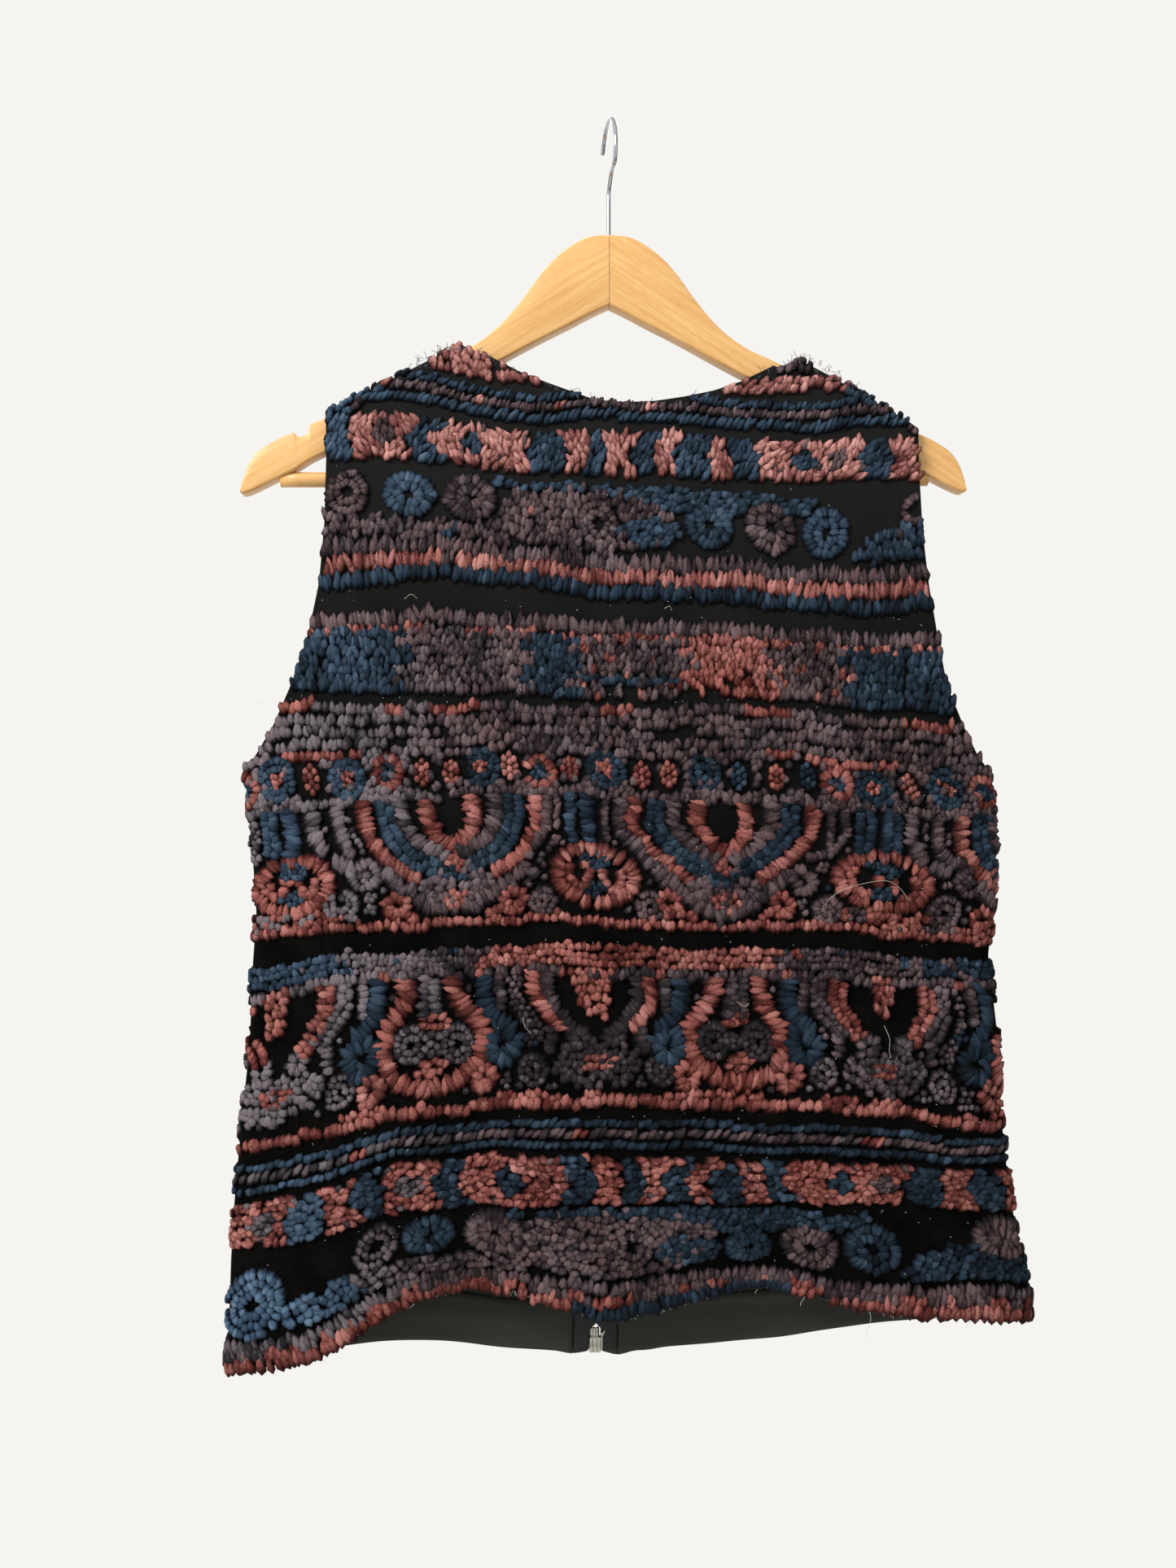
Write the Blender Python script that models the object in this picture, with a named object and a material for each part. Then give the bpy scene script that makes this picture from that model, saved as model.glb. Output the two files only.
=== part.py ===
"""Sculpted-pile fleece vest on a wooden hanger, hung with its back to the viewer.

Metres, +Z up. The origin is inside the top of the hook, where a rail would carry it. The vest's back
faces -Y and its zip faces +Y. Sizes below are in millimetres and are turned to metres at the end.

Each cloth panel is drawn flat, in a plane of u (across, from the garment's middle) and height z, as a
closed outline crossed by the edges of its pile bands and motifs. The drawing is triangulated, laid on
the garment's hollow form, and given a plain inside, so that the pile stands up from a thin wall.
"""

import math

import bmesh
import bpy
import numpy as np
from mathutils import Vector
from mathutils.geometry import delaunay_2d_cdt

MM = 0.001
GAP = 0.3  # between neighbouring pieces
WALL = 2.0  # ground cloth
PILE = 2.8  # pile above the ground
RAMP = 0.9  # width of a pile edge's slope
HALF_U = 235.0  # u runs from -HALF_U to HALF_U round the back or the front, seam to seam
ROUND_TOP = 5.0  # how far below the shoulder seam the cloth has rounded over the hanger
SECTION_X_POWER = 2.2
SECTION_Y_POWER = 2.4
SECTION_DEPTH = 22.0  # typical half depth, for measuring along the section
SEAM_RISE = 0.6  # how far the pile's edge shows above the cloth at the shoulder seam
SHOULDER_SPREAD = 32.0  # the form is this much wider than the armholes above the underarm
SHOULDER_EASE = 60.0  # height over which it widens
CLEARANCE_EASE = 110.0  # height over which the cloth closes on the hanger's arms

# The garment's silhouette: height, left edge, right edge. It is the armholes down to the underarm.
SILHOUETTE = (
    (-120, -171, 189),
    (-210, -170, 190),
    (-250, -171, 192),
    (-285, -174, 196),
    (-315, -180, 201),
    (-345, -190, 207),
    (-370, -201, 218),
    (-388, -212, 228),
    (-400, -220, 238),
    (-412, -221, 243),
    (-452, -218, 244),
    (-483, -216, 243),
    (-512, -218, 240),
    (-562, -220, 246),
    (-610, -225, 248),
    (-656, -229, 253),
    (-690, -231, 259),
    (-722, -232, 266),
    (-770, -235, 268),
)
UNDERARM = -410.0
# Half the garment's inner depth: height, at the back, at the front
DEPTHS = (
    (-110, 9.5, 9.5),
    (-200, 11.0, 12.0),
    (-300, 15.0, 17.0),
    (-410, 18.0, 20.0),
    (-520, 20.0, 22.0),
    (-650, 22.5, 23.0),
    (-770, 23.0, 22.0),
)
ARM_SEAT = 0.8  # from the arm to the shoulder seam
ARM_CLEARANCE = 6.8  # inner half depth where the cloth lies on the hanger's arms
# Top edge of a hanger arm: distance out from the middle, height
ARM_TOP = (
    (0, -72),
    (27, -79),
    (41, -93),
    (53, -110),
    (65, -124),
    (81, -137),
    (100, -145.5),
    (135, -163.2),
    (172, -183),
    (198, -197),
    (207, -201),
    (214, -208),
    (219, -216),
    (222, -226),
)
HANGER_TILT = 0.0157  # rise of the hanger towards +X, as a slope
# Shoulder seam as it shows: x, height of the cloth's top
SHOULDERS = (
    (-180, -180),
    (-162, -172),
    (-144, -163),
    (-125, -153),
    (-104, -142),
    (-88, -134),
    (0, -90),
    (112, -138),
    (129, -146),
    (146, -155),
    (173, -170),
    (195, -183),
)
# Back neckline: x, height
NECKLINE = (
    (-91, -139),
    (-70, -149),
    (-54, -157),
    (-38, -163),
    (-9, -173),
    (9, -174),
    (27, -173),
    (45, -170),
    (63, -166),
    (80, -160),
    (100, -150),
    (116, -142),
)
NECK_LEFT, NECK_RIGHT = -91.0, 116.0
NECK_END = 14.0  # length of neckline that falls away from each shoulder seam
NECK_FALL = 0.45  # its slope there
NECK_FREE = 10.0  # how steeply that limit then leaves the neckline
VEE_BOTTOM = -292.0  # where the front neckline meets the zip
VEE_X, ZIP_FOOT_X = 6.0, -7.0  # the zip's line leans a little
ZIP_HALF = 4.6  # from the zip's middle to each front's edge
HEM_ROLL = 9.0  # how far the back hem rolls in at its two arches
HEM_ROLL_HEIGHT = 45.0
HEM_ARCHES = ((-93, 42), (73, 42))  # middle u and width of each arch
HEM_LEVEL = -760.0  # about where the hem hangs, for measuring across it
# Soft hollows and swells that run down the cloth: u, width, depth outwards, top, bottom
FOLDS = (
    (-150, 46, 2.6, -380, -760),
    (-88, 40, -3.4, -470, -760),
    (-18, 50, 3.0, -430, -760),
    (78, 44, -3.6, -450, -760),
    (150, 48, 2.8, -400, -760),
    (-60, 38, 1.6, -190, -330),
    (40, 46, -1.8, -210, -360),
)
FOLD_START, FOLD_STOP, FOLD_TAIL = 90.0, 80.0, 60.0  # heights over which a fold comes and goes

# Where the cloth's rows hang on the back. cloth is the height along the cloth above the hem, and the
# rest are heights at BACK_COLUMNS.
BACK_COLUMNS = (-235, -178, -134, -93, -12, 73, 134, 235)
BACK_ROWS = (
    (0, -757, -742, -714, -707, -721, -709, -723, -737),
    (20, -742, -727, -701, -695, -701, -698, -708, -717),
    (66, -684, -673, -659, -655, -655, -656, -658, -670),
    (95, -656, -644, -630, -625, -627, -630, -635, -643),
    (127, -621, -611, -600, -595, -594, -596, -601, -616),
    (201, -540, -525, -520, -518, -521, -522, -526, -531),
    (221, -516, -508, -504, -502, -501, -504, -506, -515),
    (229, -502, -496, -493, -490, -493, -495, -497, -507),
    (315, -422, -414, -409, -408, -408, -413, -416, -423),
    (370, -356, -349, -351, -352, -353, -353, -357, -364),
    (415, -313, -305, -302, -306, -308, -312, -314, -317),
    (432, -294, -288, -282, -284, -292, -297, -299, -303),
    (453, -267, -261, -261, -266, -271, -274, -277, -275),
    (504, -208, -210, -212, -216, -218, -221, -219, -221),
    (533, -176, -179, -182, -189, -189, -193, -192, -190),
    (640, -69, -72, -75, -82, -82, -86, -85, -83),
)
FRONT_COLUMNS = (-235, -120, -20, 110, 235)
FRONT_ROWS = (
    (0, -758, -752, -763, -752, -738),
    (20, -742, -735, -744, -733, -718),
    (66, -684, -687, -692, -682, -670),
    (95, -656, -657, -662, -652, -643),
    (127, -621, -622, -626, -620, -616),
    (201, -540, -544, -546, -538, -531),
    (221, -516, -521, -524, -520, -515),
    (229, -502, -512, -516, -512, -507),
    (315, -422, -422, -424, -424, -423),
    (370, -356, -358, -362, -363, -364),
    (415, -313, -314, -316, -317, -317),
    (432, -294, -296, -298, -300, -303),
    (453, -267, -270, -273, -274, -275),
    (504, -208, -213, -217, -219, -221),
    (533, -176, -183, -188, -190, -190),
    (640, -69, -76, -81, -83, -83),
)

BEYOND_TOP = 640.0  # a row above every part of the cloth
# Bands where the pile stands up over the whole width: bottom and top, along the cloth
PILE_BANDS = (
    (0.0, 20.0),
    (66.0, 111.5),
    (127.0, 137.0),
    (201.0, 221.5),
    (229.0, 238.0),
    (317.0, 364.0),
    (370.0, 415.0),
    (432.0, 455.0),
    (504.0, BEYOND_TOP),
)
# Flat slots cut into those bands: middle u, middle row, half width, half height
SLOTS = (
    (-140, 351, 15, 2.2),
    (-96, 348, 12, 2.2),
    (-122, 329, 6, 6),
    (-62, 329, 5, 6),
    (22, 329, 6, 6),
    (66, 329, 5, 6),
    (112, 329, 6, 6),
)
# Round rosettes on the flat ground: u, row, radius
ROSETTES = (
    (-170, 486, 15),
    (-132, 482, 15),
    (-95, 484, 16),
    (49, 474, 14),
    (86, 474, 16),
    (120, 475, 16),
    (-218, 38, 19),
    (-148, 50, 12),
    (-118, 52, 11),
    (-86, 50, 15),
    (118, 42, 16),
    (150, 40, 15),
)
# Pile clouds beside the rosettes: left u, right u, bottom row, top row, corner radius
CLOUDS = (
    (-86, 38, 457, 500, 14),
    (-60, 96, 486, 501, 7),
    (-235, -60, 458, 468, 5),
    (142, 235, 458, 487, 12),
    (-190, -128, 24, 38, 7),
    (-76, 40, 24, 61, 15),
    (30, 108, 34, 62, 12),
    (166, 235, 26, 56, 12),
)
MOTIF_REPEAT = 175.0
MOTIF_MIDDLE = -21.0
# The upper ornament's pieces for one repeat, round its ring: u from the ring, row
RING_ROW, RING_OUT, RING_IN = 262.0, 28.0, 21.0
SCROLL_SIDE, SCROLL_OUT = 9.0, 7.5
POSTS = (-25.0, -12.5, 0.0, 12.5, 25.0)
POST_HALF, POST_LOW, POST_HIGH = 4.2, 291.0, 313.0
# Nested cups half a repeat away: outer radius, inner radius
CUPS = ((15.0, 8.0), (27.0, 18.5), (39.0, 30.5))
CUP_ROW, CUP_TOP = 291.0, 313.0
BASE_DISCS = (-38.0, 38.0)
BASE_ROW, BASE_RADIUS = 246.0, 8.5
# The lower ornament is the upper one hung half a repeat along
LOWER_SHIFT = MOTIF_REPEAT / 2
LOWER_DROP = 111.0

TURN_STEPS = (0.4, 1.2, 2.6, ROUND_TOP)  # below the shoulder seam, where the cloth turns
SIDE_STEPS = (1.8, 5.0, 11.0, 24.0)  # inside the side seam, where the cloth turns the corner
SIDE_SLOPE = 0.6  # how those lines end lower, the further in they lie
BACK_STEP, FRONT_STEP = 34.0, 47.0  # spacing of points along the pile edges
LINING_GRID = (30.0, 40.0, 8.0)  # spacing across and up of the inside's points, and their margin
SURFACE_STEP = 0.35  # for finding which way the surface faces
FACING_DEEP = 16.0
HEM_FACING_DEEP = 30.0
SIDE_CLEAR = 16.0  # the facings stop short of the side seams
FACING_RISES = (-0.9, -1.9)  # from the cloth's inside, inwards
# Zip: the tapes lie inside the fronts' edges, and the teeth stand between them
TAPE_REACH = 9.0  # from the front's edge to the tape's inner edge
TAPE_RISES = (-0.9, -1.9)
TEETH_WIDTH = 2.9
TEETH_RISES = (-0.6, 2.2)
BOX_SIZE = (7.5, 4.6, 9.7)
COLLAR_SIZE = (3.2, 3.2, 6.4)  # on the box, round the fixed row's end
BOX_MIDDLE_RISE = 1.0
ROW_SIDE = 1.9  # from the zip's middle to the pin and to the collar
PIN_SEAT = 2.0  # from the box's foot to the bottom of the pin's bore
TEETH_START = 7.0  # above the box
SLIDER_SIZE = (8.6, 5.4, 9.6)
METAL_RISE = 0.2  # of the slider and the stops, from the fronts' inside
EAR_SIZE = (1.2, 4.4, 3.4)
EAR_SIDE, EAR_OUT, EAR_UP = 2.2, 1.2, 2.0  # from the slider's face and middle
PULL_SIZE = (5.6, 1.4, 26.0)
PULL_PIN = 0.75
PULL_EYE = 2.0
PIN_RADIUS = 0.9
STOP_SIZE = (2.8, 3.2, 3.4)
STOP_DROP = 1.0  # below the neck edge
STOP_SIDE = 2.0
# Hanger
ARM_THICK = 12.0
ARM_SECTIONS = (
    # distance out, top of the wood, underside
    (0.15, -72.0, -112.0),
    (14.0, -73.5, -119.0),
    (27.0, -79.0, -126.0),
    (41.0, -93.0, -133.5),
    (53.0, -110.0, -140.0),
    (65.0, -124.0, -146.5),
    (81.0, -137.0, -155.0),
    (100.0, -145.5, -165.0),
    (135.0, -163.2, -184.0),
    (172.0, -183.0, -204.5),
    (182.5, -189.0, -210.5),
    (183.5, -194.5, -211.0),
    (187.0, -197.5, -213.0),
    (190.5, -197.0, -215.5),
    (191.5, -194.5, -216.0),
    (198.0, -197.0, -220.5),
    (207.0, -201.0, -227.5),
    (214.0, -208.0, -232.0),
    (219.0, -216.0, -233.5),
    (222.3, -223.0, -230.0),
)
BAR_RADIUS, BAR_REACH, BAR_Z = 4.5, 199.0, -218.0
WIRE = 1.4  # hook wire's radius
HOOK_TURN = math.radians(82)  # the hook's plane, from the hanger's

COLOURS = {
    "fleece": (0.035, 0.028, 0.038, 1),
    "black_cloth": (0.008, 0.008, 0.008, 1),
    "tape": (0.01, 0.01, 0.012, 1),
    "nickel": (0.55, 0.54, 0.52, 1),
    "beech": (0.72, 0.42, 0.16, 1),
    "chrome": (0.75, 0.76, 0.78, 1),
}


def clear_scene():
    for thing in list(bpy.data.objects):
        bpy.data.objects.remove(thing, do_unlink=True)


def material(name, roughness, metallic):
    made = bpy.data.materials.new(name)
    made.use_nodes = True
    shader = made.node_tree.nodes["Principled BSDF"]
    shader.inputs["Base Color"].default_value = COLOURS[name]
    shader.inputs["Roughness"].default_value = roughness
    shader.inputs["Metallic"].default_value = metallic
    return made


def column(table, index):
    return np.array([row[index] for row in table], float)


def lookup(x, table, index=1):
    """Straight-line reading of one column of a table whose first column may rise or fall."""
    keys = column(table, 0)
    values = column(table, index)
    order = np.argsort(keys)
    return np.interp(x, keys[order], values[order])


def smooth_lookup(x, keys, values):
    """Cubic through the values, with each slope the mean of its neighbours' (keys rise)."""
    keys = np.asarray(keys, float)
    values = np.asarray(values, float)
    slopes = np.gradient(values, keys)
    x = np.clip(x, keys[0], keys[-1])
    cell = np.clip(np.searchsorted(keys, x) - 1, 0, len(keys) - 2)
    width = keys[cell + 1] - keys[cell]
    t = (x - keys[cell]) / width
    return (
        values[cell] * (1 + 2 * t) * (1 - t) ** 2
        + values[cell + 1] * t**2 * (3 - 2 * t)
        + slopes[cell] * width * t * (1 - t) ** 2
        - slopes[cell + 1] * width * t**2 * (1 - t)
    )


def ease(t):
    t = np.clip(t, 0, 1)
    return t * t * (3 - 2 * t)


def half_section():
    """Half of the garment's round section as tables: share of its length, x and y as shares."""
    angle = np.linspace(0, math.pi / 2, 400)
    x = np.sin(angle) ** (2 / SECTION_X_POWER)
    y = np.cos(angle) ** (2 / SECTION_Y_POWER)
    steps = np.hypot(np.diff(x) * HALF_U, np.diff(y) * SECTION_DEPTH)
    length = np.concatenate([[0], np.cumsum(steps)])
    return length / length[-1], x, y


SECTION_T, SECTION_X, SECTION_Y = half_section()


def arm_top(x):
    return lookup(np.abs(x), ARM_TOP) + HANGER_TILT * x


def shoulder_line(x):
    """Inner height of the shoulder seam: under the cloth that shows, and just clear of the arm."""
    shown = lookup(x, SHOULDERS) - WALL - PILE - SEAM_RISE
    return np.maximum(shown, arm_top(x) + ARM_SEAT)


def middle_and_half(z):
    """Middle and half width of the section at a height, inside the cloth below the underarm."""
    left = lookup(z, SILHOUETTE, 1)
    right = lookup(z, SILHOUETTE, 2)
    above = ease((z - UNDERARM) / SHOULDER_EASE)
    half = (right - left) / 2 + SHOULDER_SPREAD * above - (WALL + PILE) * (1 - above)
    return (left + right) / 2, half


def edge_u(z, side):
    """u of the armhole's edge above the underarm, and of the side seam below it."""
    middle, half = middle_and_half(z)
    edge = lookup(z, SILHOUETTE, 1 if side < 0 else 2)
    share = np.clip(np.abs(edge - middle) / half, 0, 1)
    inside = np.interp(share, SECTION_X, SECTION_T)
    return side * HALF_U * np.where(z > UNDERARM, inside, 1.0)


def folds(u, z, front):
    out = np.zeros(np.broadcast(u, z).shape)
    for at, width, depth, top, bottom in FOLDS:
        reach = ease((top - z) / FOLD_START) * ease((z - bottom + FOLD_TAIL) / FOLD_STOP)
        turned = -at if front else at
        out = out + depth * np.exp(-(((u - turned) / width * 2) ** 2)) * reach
    return out


def hem_roll(u, z):
    arches = sum(np.exp(-(((u - at) / width) ** 2)) for at, width in HEM_ARCHES)
    low = lookup_rows(u, 0.0, False)
    return -HEM_ROLL * arches * ease((low + HEM_ROLL_HEIGHT - z) / HEM_ROLL_HEIGHT) ** 2


def on_form(u, z, front):
    """A point of the garment's inner surface. Past a seam the surface goes on round the other side."""
    u = np.asarray(u, float)
    z = np.asarray(z, float)
    over = np.where(np.abs(u) > HALF_U, -1.0, 1.0)
    u = np.where(over < 0, np.sign(u) * (2 * HALF_U - np.abs(u)), u)
    middle, half = middle_and_half(z)
    share = np.abs(u) / HALF_U
    x = middle + np.sign(u) * half * np.interp(share, SECTION_T, SECTION_X)
    bulge = np.interp(share, SECTION_T, SECTION_Y)
    top = shoulder_line(x)
    over = over * np.where(z > top, -1.0, 1.0)
    z = top - np.abs(top - z)
    hold = GAP / 2 + (ARM_CLEARANCE - GAP / 2) * ease((z - UNDERARM) / CLEARANCE_EASE)
    depth = lookup(z, DEPTHS, 2 if front else 1)
    out = hold + (depth - hold + folds(u, z, front)) * bulge
    if not front:
        out = out + hem_roll(u, z) * bulge
    rounding = np.sqrt(1 - (1 - np.clip((top - z) / ROUND_TOP, 0, 1)) ** 2)
    out = GAP / 2 + (out - GAP / 2) * rounding
    y = over * out * (1 if front else -1)
    return np.stack([x, y, z], axis=-1)


def laid(u, z, rise, front):
    """Points that stand rise millimetres outside the inner surface, kept on their side of the seams."""
    across = on_form(u + SURFACE_STEP, z, front) - on_form(u - SURFACE_STEP, z, front)
    up = on_form(u, z + SURFACE_STEP, front) - on_form(u, z - SURFACE_STEP, front)
    normal = np.cross(across, up)
    if front:
        normal = -normal
    normal /= np.linalg.norm(normal, axis=-1, keepdims=True)
    points = on_form(u, z, front) + normal * np.asarray(rise)[..., None]
    if front:
        points[..., 1] = np.maximum(points[..., 1], GAP / 2)
    else:
        points[..., 1] = np.minimum(points[..., 1], -GAP / 2)
    return points


def row_heights(u, front):
    """Heights of every row at u, lowest row first."""
    columns = FRONT_COLUMNS if front else BACK_COLUMNS
    rows = FRONT_ROWS if front else BACK_ROWS
    return np.stack([smooth_lookup(u, columns, row[1:]) for row in rows], axis=-1)


def lookup_rows(u, row, front):
    """Height z of a row of the cloth at u."""
    u = np.atleast_1d(np.asarray(u, float))
    row = np.broadcast_to(np.asarray(row, float), u.shape)
    keys = column(FRONT_ROWS if front else BACK_ROWS, 0)
    heights = row_heights(u, front)
    cell = np.clip(np.searchsorted(keys, row) - 1, 0, len(keys) - 2)
    t = (row - keys[cell]) / (keys[cell + 1] - keys[cell])
    low = np.take_along_axis(heights, cell[..., None], axis=-1)[..., 0]
    high = np.take_along_axis(heights, cell[..., None] + 1, axis=-1)[..., 0]
    return low + (high - low) * t


def row_at(u, z, front):
    """The inverse of lookup_rows: the row that lies at height z."""
    keys = column(FRONT_ROWS if front else BACK_ROWS, 0)
    heights = row_heights(u, front)
    return np.array([np.interp(at, line, keys) for at, line in zip(z, heights)])


def ornament():
    """Rings, posts, cups and discs of the two ornament rows, as lists of shapes."""
    rings, cups, boxes = [], [], []
    for shift, drop in ((0.0, 0.0), (LOWER_SHIFT, LOWER_DROP)):
        for repeat in (-2, -1, 0, 1, 2):
            u = MOTIF_MIDDLE + shift + repeat * MOTIF_REPEAT
            rings.append((u, RING_ROW - drop, RING_OUT, RING_IN))
            for side in (-1, 1):
                rings.append((u + side * SCROLL_SIDE, RING_ROW - 2 - drop, SCROLL_OUT, 0.0))
            for post in POSTS:
                middle = (POST_LOW + POST_HIGH) / 2 - drop
                half = (POST_HIGH - POST_LOW) / 2
                boxes.append((u + post, middle, POST_HALF, half))
            for outer, inner in CUPS:
                cups.append((u + MOTIF_REPEAT / 2, CUP_ROW - drop, outer, inner, CUP_TOP - drop))
            for disc in BASE_DISCS:
                rings.append((u + disc, BASE_ROW - drop, BASE_RADIUS, 0.0))
    rings.extend((u, row, radius, 0.0) for u, row, radius in ROSETTES)
    return rings, cups, boxes


RINGS, CUPS_LAID, BOXES = ornament()


def ring_depth(u, v, ring):
    middle_u, middle_v, outer, inner = ring
    away = np.hypot(u - middle_u, v - middle_v)
    depth = outer - away
    return np.minimum(depth, away - inner) if inner else depth


def cup_depth(u, v, cup):
    middle_u, middle_v, outer, inner, top = cup
    away = np.where(v < middle_v, np.hypot(u - middle_u, v - middle_v), np.abs(u - middle_u))
    return np.minimum(np.minimum(outer - away, away - inner), top - v)


def box_depth(u, v, box):
    middle_u, middle_v, half_u, half_v = box
    return np.minimum(half_u - np.abs(u - middle_u), half_v - np.abs(v - middle_v))


def cloud_depth(u, v, cloud):
    """A rounded rectangle."""
    left, right, low, high, radius = cloud
    out_u = np.abs(u - (left + right) / 2) - ((right - left) / 2 - radius)
    out_v = np.abs(v - (low + high) / 2) - ((high - low) / 2 - radius)
    beyond = np.hypot(np.maximum(out_u, 0), np.maximum(out_v, 0))
    return radius - beyond - np.minimum(np.maximum(out_u, out_v), 0)


def pile_height(u, v):
    """How high the pile stands: the deepest shape wins, and slots are taken out."""
    depth = np.full(np.shape(u), -1e3)
    for low, high in PILE_BANDS:
        depth = np.maximum(depth, np.minimum(v - low, high - v) if low > 0 else high - v)
    for shapes, measure in (
        (RINGS, ring_depth),
        (CUPS_LAID, cup_depth),
        (BOXES, box_depth),
        (CLOUDS, cloud_depth),
    ):
        for shape in shapes:
            depth = np.maximum(depth, measure(u, v, shape))
    for slot in SLOTS:
        depth = np.minimum(depth, -box_depth(u, v, slot))
    return PILE * np.clip(depth / RAMP, 0, 1)


def circle(u, v, radius, count):
    turn = np.linspace(0, 2 * math.pi, count, endpoint=False)
    return np.stack([u + radius * np.cos(turn), v + radius * np.sin(turn)], axis=-1)


def cup_outline(cup, inset, count):
    """Round under the outer arc, up its side, and back round the inner arc."""
    u, v, outer, inner, top = cup
    outer, inner, top = outer - inset, inner + inset, top - inset
    turn = np.linspace(math.pi, 2 * math.pi, count)
    under = np.stack([u + outer * np.cos(turn), v + outer * np.sin(turn)], axis=-1)
    back = np.stack([u + inner * np.cos(turn[::-1]), v + inner * np.sin(turn[::-1])], axis=-1)
    tops = [[(u - outer, top)], [(u + outer, top)], [(u + inner, top)], [(u - inner, top)]]
    return np.concatenate([tops[0], under, tops[1], tops[2], back, tops[3]])


def box_outline(box, inset):
    u, v, half_u, half_v = box
    a, b = half_u - inset, half_v - inset
    return np.array([(u - a, v - b), (u + a, v - b), (u + a, v + b), (u - a, v + b)])


def cloud_outline(cloud, inset):
    left, right, low, high, radius = cloud
    radius = radius - inset
    corners = (
        (right - inset - radius, high - inset - radius, 0),
        (left + inset + radius, high - inset - radius, 1),
        (left + inset + radius, low + inset + radius, 2),
        (right - inset - radius, low + inset + radius, 3),
    )
    points = []
    for u, v, quarter in corners:
        for turn in np.linspace(quarter, quarter + 1, 3) * math.pi / 2:
            points.append((u + radius * math.cos(turn), v + radius * math.sin(turn)))
    return np.array(points)


def shape_outlines(coarse):
    """Closed outlines of every motif at the foot and the top of its pile edge, in u and row."""
    found = []
    for inset in (0.0, RAMP):
        for u, v, outer, inner in RINGS:
            if coarse and outer < BASE_RADIUS:
                continue
            count = (12 if outer > 20 else 7) - (3 if coarse else 0)
            found.append(circle(u, v, outer - inset, count))
            if inner:
                found.append(circle(u, v, inner + inset, 8 if coarse else 10))
        for cup in CUPS_LAID:
            found.append(cup_outline(cup, inset, 4 if coarse else 5))
        for box in BOXES:
            found.append(box_outline(box, inset))
        for slot in SLOTS:
            found.append(box_outline(slot, -inset))
        for cloud in CLOUDS:
            found.append(cloud_outline(cloud, inset))
    return found


class Drawing:
    """Points and the edges that the triangles must keep."""

    def __init__(self):
        self.points = []
        self.edges = []

    def line(self, points, closed=False):
        start = len(self.points)
        self.points.extend((float(a), float(b)) for a, b in points)
        last = len(self.points) - 1
        self.edges.extend((i, i + 1) for i in range(start, last))
        if closed:
            self.edges.append((last, start))

    def dots(self, points):
        self.points.extend((float(a), float(b)) for a, b in points)

    def triangles(self, outline):
        """Triangles whose middles lie inside the outline, with their points."""
        made = delaunay_2d_cdt([Vector(p) for p in self.points], self.edges, [], 0, 1e-4)
        points = np.array([tuple(p) for p in made[0]])
        faces = np.array([tuple(face) for face in made[2]])
        middles = points[faces].mean(axis=1)
        faces = faces[inside(middles, outline)]
        used, again = np.unique(faces, return_inverse=True)
        return points[used], again.reshape(faces.shape)


def inside(points, outline):
    """Even-odd test of points against a closed outline."""
    found = np.zeros(len(points), bool)
    ends = np.roll(outline, -1, axis=0)
    for (x1, y1), (x2, y2) in zip(outline, ends):
        if y1 == y2:
            continue
        crosses = (y1 > points[:, 1]) != (y2 > points[:, 1])
        reach = x1 + (points[:, 1] - y1) / (y2 - y1) * (x2 - x1)
        found ^= crosses & (points[:, 0] < reach)
    return found


def border(faces):
    """The closed loop of points round a set of triangles, in the triangles' own turning order."""
    directed = {(int(a), int(b)) for f in faces for a, b in ((f[0], f[1]), (f[1], f[2]), (f[2], f[0]))}
    after = {a: b for a, b in directed if (b, a) not in directed}
    start = min(after)
    loop = [start]
    while after[loop[-1]] != start:
        loop.append(after[loop[-1]])
    return loop


def join_skins(outer_points, outer_faces, outer_loop, inner_points, inner_faces, inner_loop):
    """One closed shell from two skins whose borders match point for point."""
    shift = len(outer_points)
    count = len(outer_loop)
    rim = []
    for i in range(count):
        a, b = outer_loop[i], outer_loop[(i + 1) % count]
        c, d = inner_loop[(i + 1) % count] + shift, inner_loop[i] + shift
        rim.append((b, a, d))
        rim.append((b, d, c))
    faces = [tuple(f) for f in outer_faces] + [tuple(f[::-1] + shift) for f in inner_faces] + rim
    return np.concatenate([outer_points, inner_points]), faces


def add_object(name, points, faces, finish, smooth_angle=None):
    mesh = bpy.data.meshes.new(name)
    mesh.from_pydata([tuple(p) for p in np.asarray(points) * MM], [], [tuple(map(int, f)) for f in faces])
    mesh.validate()
    mesh.materials.append(finish)
    thing = bpy.data.objects.new(name, mesh)
    bpy.context.scene.collection.objects.link(thing)
    if smooth_angle:
        mesh.shade_smooth()
        mesh.set_sharp_from_angle(angle=math.radians(smooth_angle))
    return thing


def grid_inside(outline, u_step, z_step, margin):
    low = outline.min(axis=0)
    high = outline.max(axis=0)
    u = np.arange(low[0] + u_step / 2, high[0], u_step)
    z = np.arange(low[1] + z_step / 2, high[1], z_step)
    points = np.stack(np.meshgrid(u, z), axis=-1).reshape(-1, 2)
    keep = inside(points, outline)
    for turn in range(8):
        way = np.array([math.cos(turn * math.pi / 4), math.sin(turn * math.pi / 4)]) * margin
        keep &= inside(points + way, outline)
    return points[keep]


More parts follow.
